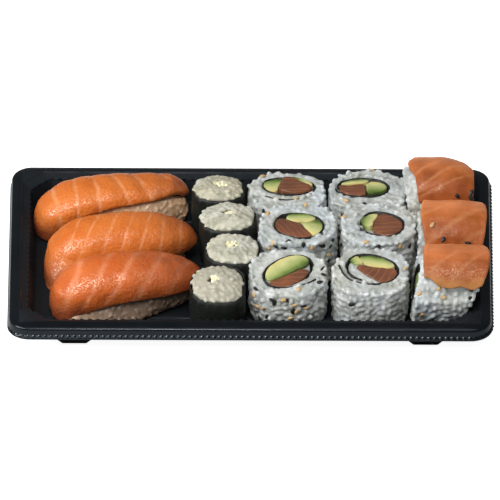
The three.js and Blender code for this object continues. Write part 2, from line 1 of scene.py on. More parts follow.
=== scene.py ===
# %% [markdown]
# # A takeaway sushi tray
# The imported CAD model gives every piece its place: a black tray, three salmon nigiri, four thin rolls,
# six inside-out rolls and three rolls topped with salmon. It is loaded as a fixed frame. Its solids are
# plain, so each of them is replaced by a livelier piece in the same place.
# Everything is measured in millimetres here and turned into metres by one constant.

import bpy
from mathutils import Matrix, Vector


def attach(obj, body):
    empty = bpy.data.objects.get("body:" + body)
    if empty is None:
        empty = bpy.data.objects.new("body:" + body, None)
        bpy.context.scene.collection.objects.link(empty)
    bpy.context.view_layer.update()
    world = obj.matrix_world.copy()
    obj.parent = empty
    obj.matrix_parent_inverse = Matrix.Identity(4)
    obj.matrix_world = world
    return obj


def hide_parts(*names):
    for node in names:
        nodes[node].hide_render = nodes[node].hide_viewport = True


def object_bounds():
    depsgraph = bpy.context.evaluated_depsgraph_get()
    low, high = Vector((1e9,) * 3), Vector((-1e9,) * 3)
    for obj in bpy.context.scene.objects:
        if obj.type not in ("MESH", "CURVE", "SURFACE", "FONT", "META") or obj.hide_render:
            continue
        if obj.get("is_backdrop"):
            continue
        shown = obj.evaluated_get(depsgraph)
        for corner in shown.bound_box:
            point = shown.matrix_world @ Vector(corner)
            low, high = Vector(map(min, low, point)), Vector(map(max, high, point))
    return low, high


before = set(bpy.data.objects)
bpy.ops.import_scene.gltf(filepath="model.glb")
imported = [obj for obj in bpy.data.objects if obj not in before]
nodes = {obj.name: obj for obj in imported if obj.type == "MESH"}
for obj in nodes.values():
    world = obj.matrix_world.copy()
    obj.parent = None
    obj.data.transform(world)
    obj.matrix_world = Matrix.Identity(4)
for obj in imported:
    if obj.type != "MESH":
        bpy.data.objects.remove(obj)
cad_box = [list(corner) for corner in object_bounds()]

# %% Tools and units
import math

import bpy
import numpy as np
from mathutils import Matrix, Vector, noise
from mathutils.bvhtree import BVHTree
from mathutils.kdtree import KDTree

MM = 0.001
LENGTH, WIDTH = 255.0, 148.0  # the tray's outline
FOOD_FLOOR = 5.7  # the height at which the food stands, just above the ribs of the tray's floor
print("The frame holds", len(nodes), "solids; its box in metres is", cad_box)

# %% [markdown]
# ## Camera
# The tray is seen from in front and above, from far away, so that its long sides stay nearly parallel.
# A long lens at a long distance does this better than an orthographic camera, because other views of the
# scene keep the lens. The aim point is just in front of the tray's middle, at rim height.

# %% The camera
ELEVATION = math.radians(36)
CAMERA_DISTANCE = 9.0
VIEW_WIDTH = 0.2629
CAMERA_TILT = math.radians(0.25)
aim = Vector((-0.16, -3.31, 20)) * MM
backwards = Vector((0, -math.cos(ELEVATION), math.sin(ELEVATION)))

camera_data = bpy.data.cameras.new("camera")
camera_data.sensor_width = 36
camera_data.lens = camera_data.sensor_width * CAMERA_DISTANCE / VIEW_WIDTH
camera_data.clip_start = 0.1
camera_data.clip_end = 30
camera = bpy.data.objects.new("camera", camera_data)
bpy.context.scene.collection.objects.link(camera)
camera.location = aim + backwards * CAMERA_DISTANCE
level = backwards.to_track_quat("Z", "Y")
camera.rotation_euler = (level.to_matrix() @ Matrix.Rotation(CAMERA_TILT, 3, "Z")).to_euler()
bpy.context.scene.camera = camera
print("Lens", round(camera_data.lens), "mm at", CAMERA_DISTANCE, "m")

# %% [markdown]
# ## Working by hand, in code
# Blender's operators act on the active object and on whatever is selected, so every step starts by
# selecting one piece and nothing else. A copy of a solid comes as loose triangles. Merging its doubles
# joins them into one skin, which can then be smoothed, and the solid itself stays as it was. Soft shapes
# such as fish and rice are finished by moving all points of a mesh at once, which is quickest on arrays.

# %% Selecting and editing
def work_on(piece):
    bpy.ops.object.select_all(action="DESELECT")
    piece.select_set(True)
    bpy.context.view_layer.objects.active = piece


def open_for_edit(piece):
    work_on(piece)
    bpy.ops.object.mode_set(mode="EDIT")
    bpy.ops.mesh.select_all(action="SELECT")


def close_edit():
    bpy.ops.object.mode_set(mode="OBJECT")


# %% Modifiers and shading
def add_and_apply(piece, kind, **settings):
    work_on(piece)
    modifier = piece.modifiers.new(kind.lower(), kind)
    for key, value in settings.items():
        setattr(modifier, key, value)
    bpy.ops.object.modifier_apply(modifier=modifier.name)


def smooth(piece, levels):
    add_and_apply(piece, "SUBSURF", levels=levels, render_levels=levels)


def cut_finer(piece, levels):
    """Splits every face into four, again and again, and leaves the shape as it is."""
    add_and_apply(piece, "SUBSURF", subdivision_type="SIMPLE", levels=levels, render_levels=levels)


def shade_round(piece, angle):
    """Edges sharper than the angle stay sharp."""
    work_on(piece)
    bpy.ops.object.shade_smooth_by_angle(angle=math.radians(angle))


# %% New pieces, joined pieces and finished pieces
def new_piece(name, mesh):
    piece = bpy.data.objects.new(name, mesh)
    bpy.context.scene.collection.objects.link(piece)
    return piece


def copy_of_solid(node, name, quads=True):
    """Merging the doubles joins the loose triangles. Quads are better where the copy is smoothed."""
    piece = new_piece(name, nodes[node].data.copy())
    piece.data.materials.clear()
    open_for_edit(piece)
    bpy.ops.mesh.remove_doubles(threshold=0.01 * MM)
    if quads:
        flattest = math.radians(60)
        bpy.ops.mesh.tris_convert_to_quads(face_threshold=flattest, shape_threshold=flattest)
    close_edit()
    return piece


def join_into_one(pieces, name):
    bpy.ops.object.select_all(action="DESELECT")
    for piece in pieces:
        piece.select_set(True)
    bpy.context.view_layer.objects.active = pieces[0]
    bpy.ops.object.join()
    pieces[0].name = name
    return pieces[0]


def hand_over(piece, node=None):
    """Every finished piece rides on the tray. Most of them stand in for a solid of the frame."""
    if node:
        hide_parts(node)
    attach(piece, "root")


# %% Points of a mesh as arrays in millimetres
def points_of(piece):
    flat = np.empty(len(piece.data.vertices) * 3)
    piece.data.vertices.foreach_get("co", flat)
    return flat.reshape(-1, 3) / MM


def normals_of(piece):
    flat = np.empty(len(piece.data.vertices) * 3)
    piece.data.vertices.foreach_get("normal", flat)
    return flat.reshape(-1, 3)


def move_points(piece, points):
    piece.data.vertices.foreach_set("co", (points * MM).ravel())
    piece.data.update()


def ripple(points, size, seed):
    """Smooth noise from -1 to 1 at each point, with bumps of about the given size."""
    shift = Vector((seed * 7.3, seed * 3.1, seed * 5.7))
    return np.array([noise.noise(Vector(p) / size + shift) for p in points])


def push_out(piece, distances):
    """Moves each point along its normal, by one distance for all or by one for each."""
    move_points(piece, points_of(piece) + normals_of(piece) * np.reshape(distances, (-1, 1)))


# %% Numbers stored on a mesh
def note(piece, name, values):
    """Stores one number for each vertex, for a finish to read."""
    attribute = piece.data.attributes.get(name) or piece.data.attributes.new(name, "FLOAT", "POINT")
    attribute.data.foreach_set("value", np.asarray(values, dtype=np.float32))


def read(piece, name):
    values = np.empty(len(piece.data.vertices))
    piece.data.attributes[name].data.foreach_get("value", values)
    return values


# %% Soft steps from 0 to 1
def rising(values, start, over):
    """0 up to the start, then up to 1 over the given way."""
    return np.clip((values - start) / over, 0, 1)


def falling(values, end, over):
    """1 until the given way before the end, then down to 0 at the end."""
    return np.clip((end - values) / over, 0, 1)


print("Half way along a step of 10 mm:", rising(25, 20, 10), falling(15, 20, 10))

# %% [markdown]
# ## Finishes
# Every finish is a Principled shader fed by a few procedural nodes. The nodes read Object coordinates,
# which are metres here, or a number that was stored on the mesh, such as how near a point is to a fat
# line in the fish. Effects that several finishes share are node groups, built once: a blotchy mix of two
# colours, a fine bumpy relief, and a set of soft lines.

# %% Colours, and a short way to add a shader node
def colour(red, green, blue):
    """A screen colour from 0 to 255 as the linear colour that shaders use."""
    def linear(value):
        value /= 255
        return value / 12.92 if value <= 0.04045 else ((value + 0.055) / 1.055) ** 2.4
    return (linear(red), linear(green), linear(blue), 1.0)


def add_node(tree, kind, inputs=(), **settings):
    node = tree.nodes.new("ShaderNode" + kind)
    for key, value in settings.items():
        setattr(node, key, value)
    for socket, value in dict(inputs).items():
        if isinstance(value, bpy.types.NodeSocket):
            tree.links.new(value, node.inputs[socket])
        else:
            node.inputs[socket].default_value = value
    return node


# %% Sums, blends and ramps of shader values
def calculate(tree, operation, first, second=0.0, third=0.0, clamp=False):
    node = add_node(tree, "Math", {0: first, 1: second, 2: third}, operation=operation, use_clamp=clamp)
    return node.outputs[0]


def blend_colours(tree, share, first, second, way="MIX"):
    node = add_node(tree, "Mix", {0: share, 6: first, 7: second}, data_type="RGBA", blend_type=way)
    return node.outputs[2]


def ramp_between(tree, value, low, high, from_value=0.0, to_value=1.0):
    node = add_node(
        tree, "MapRange", {0: value, 1: low, 2: high, 3: from_value, 4: to_value},
        interpolation_type="SMOOTHSTEP",
    )
    return node.outputs[0]


def stored(tree, name):
    return add_node(tree, "Attribute", attribute_name=name).outputs["Fac"]


# %% Node groups
def new_group(name, inputs, outputs):
    group = bpy.data.node_groups.new(name, "ShaderNodeTree")
    for socket, kind in inputs:
        group.interface.new_socket(socket, in_out="INPUT", socket_type="NodeSocket" + kind)
    for socket, kind in outputs:
        group.interface.new_socket(socket, in_out="OUTPUT", socket_type="NodeSocket" + kind)
    entry = group.nodes.new("NodeGroupInput")
    leave = group.nodes.new("NodeGroupOutput")
    return group, entry.outputs, leave.inputs


def use_group(tree, group, **inputs):
    node = tree.nodes.new("ShaderNodeGroup")
    node.node_tree = group
    for socket, value in inputs.items():
        socket = socket.replace("_", " ")
        if isinstance(value, bpy.types.NodeSocket):
            tree.links.new(value, node.inputs[socket])
        else:
            node.inputs[socket].default_value = value
    return node.outputs


# %% Shared effect: blotches of two colours
blotches, given, result = new_group(
    "blotches",
    [("Colour A", "Color"), ("Colour B", "Color"), ("Scale", "Float"), ("Contrast", "Float")],
    [("Colour", "Color"), ("Mask", "Float")],
)
place = add_node(blotches, "TexCoord").outputs["Object"]
cloud = add_node(blotches, "TexNoise", {"Vector": place, "Scale": given["Scale"], "Detail": 3.0})
centred = calculate(blotches, "SUBTRACT", cloud.outputs[0], 0.5)
share = calculate(blotches, "MULTIPLY_ADD", centred, given["Contrast"], 0.5, clamp=True)
blotches.links.new(blend_colours(blotches, share, given["Colour A"], given["Colour B"]), result["Colour"])
blotches.links.new(share, result["Mask"])

# %% Shared effect: fine relief
relief, given, result = new_group(
    "fine relief",
    [("Coarse Scale", "Float"), ("Fine Scale", "Float"), ("Fine Share", "Float")],
    [("Height", "Float")],
)
place = add_node(relief, "TexCoord").outputs["Object"]
coarse = add_node(relief, "TexNoise", {"Vector": place, "Scale": given["Coarse Scale"], "Detail": 2.0})
fine = add_node(relief, "TexNoise", {"Vector": place, "Scale": given["Fine Scale"], "Detail": 2.0})
height = calculate(relief, "MULTIPLY_ADD", fine.outputs[0], given["Fine Share"], coarse.outputs[0])
relief.links.new(height, result["Height"])

# %% Shared effect: fat lines
# The mesh stores a count that rises by one from each fat line to the next. The distance to the nearest
# whole number is then the distance to the nearest line, and noise makes the lines waver and fade.
fat_lines, given, result = new_group(
    "fat lines",
    [("Count", "Float"), ("Width", "Float"), ("Waver", "Float"), ("Waver Scale", "Float")],
    [("Mask", "Float"), ("Distance", "Float")],
)
place = add_node(fat_lines, "TexCoord").outputs["Object"]
drift = add_node(fat_lines, "TexNoise", {"Vector": place, "Scale": given["Waver Scale"], "Detail": 2.0})
fade = add_node(fat_lines, "TexNoise", {"Vector": place, "Scale": 130.0, "Detail": 2.0})
centred = calculate(fat_lines, "SUBTRACT", drift.outputs[0], 0.5)
wavering = calculate(fat_lines, "MULTIPLY_ADD", centred, given["Waver"], given["Count"])
distance = calculate(fat_lines, "PINGPONG", wavering, 0.5)
line = ramp_between(fat_lines, distance, 0.0, given["Width"], 1.0, 0.0)
strength = ramp_between(fat_lines, fade.outputs[0], 0.3, 0.6, 0.35, 1.0)
fat_lines.links.new(calculate(fat_lines, "MULTIPLY", line, strength), result["Mask"])
fat_lines.links.new(distance, result["Distance"])
print("Shared effects:", [group.name for group in bpy.data.node_groups])


# %% A new finish
# It is a Principled shader, and what is the same all over is set on its own sockets.
def new_finish(name, **values):
    finish = bpy.data.materials.new(name)
    finish.use_nodes = True
    shader = finish.node_tree.nodes["Principled BSDF"]
    for socket, value in values.items():
        shader.inputs[socket.replace("_", " ")].default_value = value
    return finish, finish.node_tree, shader


def give_bump(tree, shader, height, strength, distance):
    bump = add_node(tree, "Bump", {"Height": height, "Strength": strength, "Distance": distance * MM})
    tree.links.new(bump.outputs[0], shader.inputs["Normal"])


# %% [markdown]
# ## Finish: sushi rice
# Cooked rice is not plain white. Each grain lets some light through, so thick parts look bright and the
# gaps between grains look grey, and both are painted in. Each grain stores a tone of its own, which runs
# from the colour of a crease, which is painted shade, to that of the grain. The tone is painted lower at
# the foot of each grain and in the core that shows in the gaps, and higher on its outer side. Broad blotches
# make parts of a roll warmer or cooler. Strong subsurface scattering softens the shading. Plain rice is
# cool and white, rice pressed into a thin roll is creamier, and rice under a slice is painted with the shade
# of the fish and the warm tint of the light that comes through it.

# %% Rice
def rice_finish(name, crease_shade, grain, cool, warm):
    finish, tree, shader = new_finish(
        name, Roughness=0.36, IOR=1.38, Subsurface_Weight=0.85, Subsurface_Scale=2.8 * MM,
        Subsurface_Radius=(1.0, 0.97, 0.9), Specular_IOR_Level=0.5,
    )
    patch = use_group(tree, blotches, Colour_A=cool, Colour_B=warm, Scale=38.0, Contrast=2.4)
    clear = use_group(
        tree, blotches, Colour_A=(1, 1, 1, 1), Colour_B=colour(196, 198, 194), Scale=150.0, Contrast=3.4
    )
    tinted = blend_colours(tree, 1.0, patch["Colour"], grain, "MULTIPLY")
    mottled = blend_colours(tree, 1.0, clear["Colour"], tinted, "MULTIPLY")
    # Painted shade: where the stored tone is low, the rice takes the grey colour of its creases.
    toned = blend_colours(tree, stored(tree, "tone_and_shade"), crease_shade, mottled)
    tree.links.new(toned, shader.inputs["Base Color"])
    bumps = use_group(tree, relief, Coarse_Scale=400.0, Fine_Scale=1500.0, Fine_Share=0.25)
    give_bump(tree, shader, bumps["Height"], 0.05, 0.2)
    return finish


rice = rice_finish(
    "rice", crease_shade=colour(146, 147, 142), grain=colour(232, 234, 234),
    cool=colour(238, 246, 255), warm=colour(252, 249, 240),
)
creamy_rice = rice_finish(
    "creamy rice", crease_shade=colour(172, 168, 154), grain=colour(222, 219, 205),
    cool=colour(246, 250, 255), warm=colour(255, 250, 232),
)
# Lit and shaded copies of the rice: under a slice, the shade of the fish and the warm tint of the light that
# comes through it are painted in, most of all under the front slice.
deep_shaded_rice = rice_finish(
    "rice under the front fish", crease_shade=colour(96, 80, 68), grain=colour(214, 184, 158),
    cool=colour(250, 250, 255), warm=colour(255, 236, 214),
)
shaded_rice = rice_finish(
    "rice under fish", crease_shade=colour(188, 146, 112), grain=colour(240, 210, 178),
    cool=colour(250, 250, 255), warm=colour(255, 236, 214),
)
print("Rice finishes:", [finish.name for finish in (rice, creamy_rice, deep_shaded_rice, shaded_rice)])

# %% [markdown]
# ## Finish: raw salmon
# The flesh is orange, with pale fat lines that cross it in soft bands. The mesh stores the count of the
# fat lines and four amounts from 0 to 1: how thin the flesh is, so that the rice shows through, how much
# light is painted on the top, how much shade is painted where the slice lies in shade, and how much glint
# is painted where the lights would reflect. The film of juice breaks up into fine drops, and each drop has a
# glossy coat. Where glints are painted, each drop also gets a bright painted core, because a glint that is
# smaller than a pixel would otherwise be lost.

# %% Salmon
def salmon_finish(name, flesh, deep, line_colour, width, waver, line_share, roughening=1.0, coat=1.0):
    finish, tree, shader = new_finish(
        name, Roughness=0.42, IOR=1.4, Subsurface_Weight=0.12, Subsurface_Scale=2.5 * MM,
        Subsurface_Radius=(1.0, 0.35, 0.15), Coat_Roughness=0.26, Specular_IOR_Level=0.3,
    )
    body = use_group(tree, blotches, Colour_A=flesh, Colour_B=deep, Scale=60.0, Contrast=2.2)
    lines = use_group(
        tree, fat_lines, Count=stored(tree, "line"), Width=width, Waver=waver, Waver_Scale=110.0
    )
    share_here = calculate(tree, "MULTIPLY", lines["Mask"], line_share)
    striped = blend_colours(tree, share_here, body["Colour"], line_colour)
    # Painted light: the tops of the toppings are made paler.
    pale = blend_colours(tree, stored(tree, "pale"), striped, colour(240, 150, 98))
    thin = blend_colours(tree, stored(tree, "thin"), pale, colour(212, 156, 92))
    # Painted shade, where a slice lies in shade.
    painted_shade = blend_colours(tree, stored(tree, "painted_shade"), thin, colour(132, 66, 38))
    bumps = use_group(tree, relief, Coarse_Scale=640.0, Fine_Scale=1300.0, Fine_Share=0.3)
    give_bump(tree, shader, bumps["Height"], roughening, 0.5)
    place = add_node(tree, "TexCoord").outputs["Object"]
    drops = add_node(tree, "TexNoise", {"Vector": place, "Scale": 1100.0, "Detail": 1.0})
    drop = ramp_between(tree, drops.outputs[0], 0.5, 0.62)
    tree.links.new(calculate(tree, "MULTIPLY", drop, coat), shader.inputs["Coat Weight"])
    # Painted glints: where the mesh asks for them, a bright core is painted into each drop.
    glinting = calculate(tree, "MULTIPLY", drop, calculate(tree, "MULTIPLY", stored(tree, "glint_paint"), 0.5))
    tree.links.new(blend_colours(tree, glinting, painted_shade, colour(255, 216, 176)), shader.inputs["Base Color"])
    return finish


salmon_thin_lines = salmon_finish(
    "salmon with thin lines", flesh=colour(213, 120, 54), deep=colour(197, 100, 34),
    line_colour=colour(232, 168, 124), width=0.15, waver=0.26, line_share=0.42,
)
salmon_soft_bands = salmon_finish(
    "salmon with soft bands", flesh=colour(206, 109, 53), deep=colour(188, 87, 31),
    line_colour=colour(228, 153, 114), width=0.24, waver=0.3, line_share=0.45,
)
salmon_topping = salmon_finish(
    "salmon topping", flesh=colour(194, 108, 50), deep=colour(138, 66, 22),
    line_colour=colour(212, 148, 100), width=0.2, waver=0.3, line_share=0.5, roughening=0.3, coat=0.4,
)
print("Salmon finishes:", [finish.name for finish in (salmon_thin_lines, salmon_soft_bands, salmon_topping)])

# %% [markdown]
# ## Finish: fillings, seaweed, cheese and sesame
# The fish inside the rolls is cut across its grain and looks browner. Avocado is dark green by its skin
# and pale yellow at its heart, so the mesh stores how far from the skin each point lies. Seaweed is nearly
# black with a green tinge and a dull sheen, and the soft cheese is a pale yellow crumble.

# %% Fish in the rolls
fish_filling, tree, shader = new_finish(
    "fish in the rolls", Roughness=0.3, IOR=1.42, Subsurface_Weight=0.08, Subsurface_Scale=2 * MM,
    Subsurface_Radius=(1.0, 0.4, 0.25), Coat_Weight=0.25, Coat_Roughness=0.15,
)
flesh = use_group(
    tree, blotches, Colour_A=colour(140, 86, 58), Colour_B=colour(88, 58, 44), Scale=75.0, Contrast=1.6
)
lines = use_group(tree, fat_lines, Count=stored(tree, "line"), Width=0.12, Waver=0.5, Waver_Scale=160.0)
pale_lines = blend_colours(
    tree, calculate(tree, "MULTIPLY", lines["Mask"], 0.35), flesh["Colour"], colour(206, 146, 116)
)
tree.links.new(pale_lines, shader.inputs["Base Color"])
bumps = use_group(tree, relief, Coarse_Scale=500.0, Fine_Scale=1500.0, Fine_Share=0.4)
give_bump(tree, shader, bumps["Height"], 0.3, 0.4)

# %% Avocado
avocado, tree, shader = new_finish(
    "avocado", Roughness=0.38, IOR=1.42, Subsurface_Weight=0.1, Subsurface_Scale=2 * MM,
    Subsurface_Radius=(1.0, 0.9, 0.4),
)
ripe = stored(tree, "ripe")
cloud = use_group(tree, blotches, Colour_A=(0, 0, 0, 1), Colour_B=(1, 1, 1, 1), Scale=260.0, Contrast=1.2)
uneven = calculate(tree, "MULTIPLY_ADD", calculate(tree, "SUBTRACT", cloud["Mask"], 0.5), 0.22, ripe)
ramp = add_node(tree, "ValToRGB", {"Fac": uneven})
stops = [
    (0.0, colour(52, 64, 32)), (0.2, colour(104, 126, 60)), (0.42, colour(164, 174, 108)),
    (0.7, colour(198, 198, 138)), (1.0, colour(216, 198, 128)),
]
ramp.color_ramp.elements[0].position, ramp.color_ramp.elements[0].color = stops[0]
ramp.color_ramp.elements[1].position, ramp.color_ramp.elements[1].color = stops[-1]
for position, stop in stops[1:-1]:
    ramp.color_ramp.elements.new(position).color = stop
tree.links.new(ramp.outputs[0], shader.inputs["Base Color"])
bumps = use_group(tree, relief, Coarse_Scale=300.0, Fine_Scale=1300.0, Fine_Share=0.3)
give_bump(tree, shader, bumps["Height"], 0.25, 0.3)

# %% Seaweed
seaweed, tree, shader = new_finish("seaweed", Roughness=0.5, IOR=1.45)
sheet = use_group(
    tree, blotches, Colour_A=colour(10, 12, 13), Colour_B=colour(27, 32, 25), Scale=260.0, Contrast=2.4
)
tree.links.new(sheet["Colour"], shader.inputs["Base Color"])
shine = ramp_between(tree, sheet["Mask"], 0.2, 0.9, 0.62, 0.36)
tree.links.new(shine, shader.inputs["Roughness"])
bumps = use_group(tree, relief, Coarse_Scale=700.0, Fine_Scale=2400.0, Fine_Share=0.5)
give_bump(tree, shader, bumps["Height"], 0.6, 0.4)

# %% Soft cheese
cheese, tree, shader = new_finish(
    "soft cheese", Roughness=0.4, Subsurface_Weight=0.2, Subsurface_Scale=2 * MM,
    Subsurface_Radius=(1.0, 0.9, 0.6),
)
curd = use_group(
    tree, blotches, Colour_A=colour(252, 250, 228), Colour_B=colour(242, 232, 180), Scale=420.0, Contrast=3.0
)
tree.links.new(curd["Colour"], shader.inputs["Base Color"])
bumps = use_group(tree, relief, Coarse_Scale=600.0, Fine_Scale=1900.0, Fine_Share=0.5)
give_bump(tree, shader, bumps["Height"], 0.7, 0.5)


# %% Sesame seeds
def seed_finish(name, shell, worn, roughness):
    finish, tree, shader = new_finish(name, Roughness=roughness, IOR=1.45)
    husk = use_group(tree, blotches, Colour_A=shell, Colour_B=worn, Scale=520.0, Contrast=2.5)
    tinted = blend_colours(tree, stored(tree, "tone_and_shade"), husk["Colour"], worn)
    tree.links.new(tinted, shader.inputs["Base Color"])
    bumps = use_group(tree, relief, Coarse_Scale=1400.0, Fine_Scale=3000.0, Fine_Share=0.4)
    give_bump(tree, shader, bumps["Height"], 0.3, 0.2)
    return finish


black_husk = seed_finish("black sesame husk", colour(16, 17, 20), colour(40, 38, 36), 0.38)
toasted_husk = seed_finish("toasted sesame husk", colour(228, 200, 152), colour(196, 158, 104), 0.5)

# %% [markdown]
# ## Finish: black thermoformed plastic
# The tray is formed from a thin glossy sheet. Forming stretches it, so its gloss is a little uneven and
# its surface waves gently. The rim is stretched least and stays glossy, while the walls and the floor go
# duller, so the roughness depends on how far a point is from the outline. A faint blue-grey haze and fine
# scuffs keep the plastic from looking like ink.

# %% Tray plastic
tray_plastic, tree, shader = new_finish(
    "black formed plastic", Roughness=0.3, IOR=1.5, Specular_IOR_Level=0.36,
    Specular_Tint=(0.76, 0.88, 1.0, 1.0),
)
haze = use_group(
    tree, blotches, Colour_A=colour(9, 11, 14), Colour_B=colour(15, 18, 22), Scale=35.0, Contrast=2.0
)
tree.links.new(haze["Colour"], shader.inputs["Base Color"])
scuffs = use_group(tree, relief, Coarse_Scale=60.0, Fine_Scale=900.0, Fine_Share=0.3)
gloss = ramp_between(tree, scuffs["Height"], 0.45, 0.95, 0.24, 0.44)
place = add_node(tree, "TexCoord").outputs["Object"]
split = add_node(tree, "SeparateXYZ", {0: place}).outputs
from_end = calculate(tree, "SUBTRACT", calculate(tree, "ABSOLUTE", split[0]), LENGTH / 2 * MM)
from_side = calculate(tree, "SUBTRACT", calculate(tree, "ABSOLUTE", split[1]), WIDTH / 2 * MM)
inset = calculate(tree, "MAXIMUM", from_end, from_side)
stretched = ramp_between(tree, inset, -7.3 * MM, -6.0 * MM, 2.0, 0.6)
tree.links.new(calculate(tree, "MULTIPLY", gloss, stretched), shader.inputs["Roughness"])
give_bump(tree, shader, scuffs["Height"], 0.12, 0.6)
print("Finishes:", len(bpy.data.materials))

# %% [markdown]
# ## Studio
# A pale floor and soft light. The key light is broad and warm, and stands to the left, in front of the
# tray and above it. A small warm light near the middle makes wet surfaces sparkle, and a small cool one far
# to the left reflects like a window. A long low strip in front draws the rim and the ribs of its lip, and a
# wide light overhead fills the rest. The floor looks plain white to the camera, but to everything else it
# is a quiet grey, or it would light the tray from below.

# %% Floor
bpy.ops.mesh.primitive_plane_add(size=8, location=(0, 0, 0))
floor = bpy.context.object
floor.name = "floor"
floor_finish = bpy.data.materials.new("pale floor")
floor_finish.use_nodes = True
tree = floor_finish.node_tree
tree.nodes.clear()
matte = add_node(tree, "BsdfDiffuse", {"Color": colour(228, 228, 230)})
glow = add_node(tree, "Emission", {"Color": (1, 1, 1, 1), "Strength": 0.93})
both = add_node(tree, "AddShader", {0: matte.outputs[0], 1: glow.outputs[0]})
seen = add_node(tree, "LightPath").outputs["Is Camera Ray"]
pick = add_node(tree, "MixShader", {0: seen, 1: matte.outputs[0], 2: both.outputs[0]})
add_node(tree, "OutputMaterial", {"Surface": pick.outputs[0]})
floor.data.materials.append(floor_finish)
floor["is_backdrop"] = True


# %% Lights and sky
def soft_light(name, place, width, height, power, tint):
    data = bpy.data.lights.new(name, "AREA")
    data.shape = "RECTANGLE"
    data.size, data.size_y = width, height
    data.energy = power
    data.color = tint
    light = bpy.data.objects.new(name, data)
    bpy.context.scene.collection.objects.link(light)
    light.location = place
    light.rotation_euler = Vector(place).to_track_quat("Z", "Y").to_euler()


soft_light("key light", (-0.55, -0.25, 0.62), 0.5, 0.5, 4.7, (1.0, 0.96, 0.9))
soft_light("spark light", (-0.06, -0.4, 0.75), 0.13, 0.13, 2.2, (1.0, 0.94, 0.84))
soft_light("window light", (-0.85, -0.35, 0.45), 0.2, 0.16, 2.6, (0.78, 0.88, 1.0))
soft_light("front light", (-0.3, -0.85, 0.9), 0.9, 0.12, 3.0, (0.88, 0.95, 1.0))
soft_light("ceiling light", (0.1, -0.15, 1.4), 0.8, 0.8, 3.0, (0.98, 0.99, 1.0))
sky = bpy.data.worlds.new("studio sky")
sky.use_nodes = True
sky.node_tree.nodes["Background"].inputs["Color"].default_value = (0.92, 0.96, 1.0, 1.0)
sky.node_tree.nodes["Background"].inputs["Strength"].default_value = 0.15
bpy.context.scene.world = sky
bpy.context.scene.view_settings.view_transform = "Standard"
print("Lights:", [light.name for light in bpy.data.lights])

# %% [markdown]
# ## Small pieces in large numbers
# Rice grains, sesame seeds and the ribs of the tray's lip are small shapes repeated many times. One
# pattern of each is shaped by hand, then every copy is written into one mesh with its own turn, size and
# place. This keeps them real geometry without thousands of separate objects.

# %% Many copies of one pattern in one mesh
def pattern_of(piece):
    """The points and faces of a shaped piece, which is then removed."""
    points = points_of(piece)
    faces = [list(polygon.vertices) for polygon in piece.data.polygons]
    bpy.data.objects.remove(piece)
    return points, faces


def repeat(name, pattern, places, turns):
    """turns are 3 x 3 matrices whose columns are the copy's own axes, already scaled."""
    points, faces = pattern
    count = len(places)
    spread = np.einsum("nij,kj->nki", turns, points) + places[:, None, :]
    sizes = np.array([len(face) for face in faces])
    corners = np.concatenate([np.array(face) for face in faces])
    shift = np.arange(count) * len(points)
    loops = (corners[None, :] + shift[:, None]).ravel()
    starts = np.concatenate([[0], np.cumsum(np.tile(sizes, count))[:-1]])
    mesh = bpy.data.meshes.new(name)
    mesh.vertices.add(count * len(points))
    mesh.vertices.foreach_set("co", (spread * MM).ravel())
    mesh.loops.add(len(loops))
    mesh.loops.foreach_set("vertex_index", loops.astype(np.int32))
    mesh.polygons.add(len(starts))
    mesh.polygons.foreach_set("loop_start", starts.astype(np.int32))
    mesh.update(calc_edges=True)
    mesh.shade_smooth()
    return new_piece(name, mesh)


def axes_from(outward, along):
    """Turns whose third column is outward and whose first column is along, made square to it."""
    outward = outward / np.linalg.norm(outward, axis=1, keepdims=True)
    along = along - outward * np.sum(outward * along, axis=1, keepdims=True)
    along = along / np.linalg.norm(along, axis=1, keepdims=True)
    return np.stack([along, np.cross(outward, along), outward], axis=2)


# %% [markdown]
# ## The tray
# Such a tray is one sheet of black plastic drawn down over a mould. Its section, from the outside inwards,
# is a knurled lip, a steep flange, a flat rim that falls slightly outwards, a small step, a narrow ledge and
# a wall down to the floor. The outline is a rectangle with rounded corners outside and cut-off corners
# inside. It is made as one ring of points that is extruded from section to section, because each section
# has its own corners. The knurls of the lip are small blocks with flat faces, so that each one catches the
# light by itself. Long low ribs on the floor keep the food out of its juice.

# %% The rings of the tray
CORNER_STEPS = 10


def tray_ring(inset, height, corner, roundness):
    """Points round the tray. A roundness of 1 is an arc at each corner and 0 is a straight cut."""
    ring = []
    for quarter, (side_x, side_y) in enumerate([(1, 1), (-1, 1), (-1, -1), (1, -1)]):
        centre_x = side_x * (LENGTH / 2 - inset - corner)
        centre_y = side_y * (WIDTH / 2 - inset - corner)
        angles = (quarter + np.linspace(0, 1, CORNER_STEPS + 1)) * math.pi / 2
        arc = np.stack([centre_x + corner * np.cos(angles), centre_y + corner * np.sin(angles)], axis=1)
        share = np.linspace(0, 1, CORNER_STEPS + 1)[:, None]
        cut = arc[0] * (1 - share) + arc[-1] * share
        for x, y in cut * (1 - roundness) + arc * roundness:
            ring.append((x, y, height))
    return ring


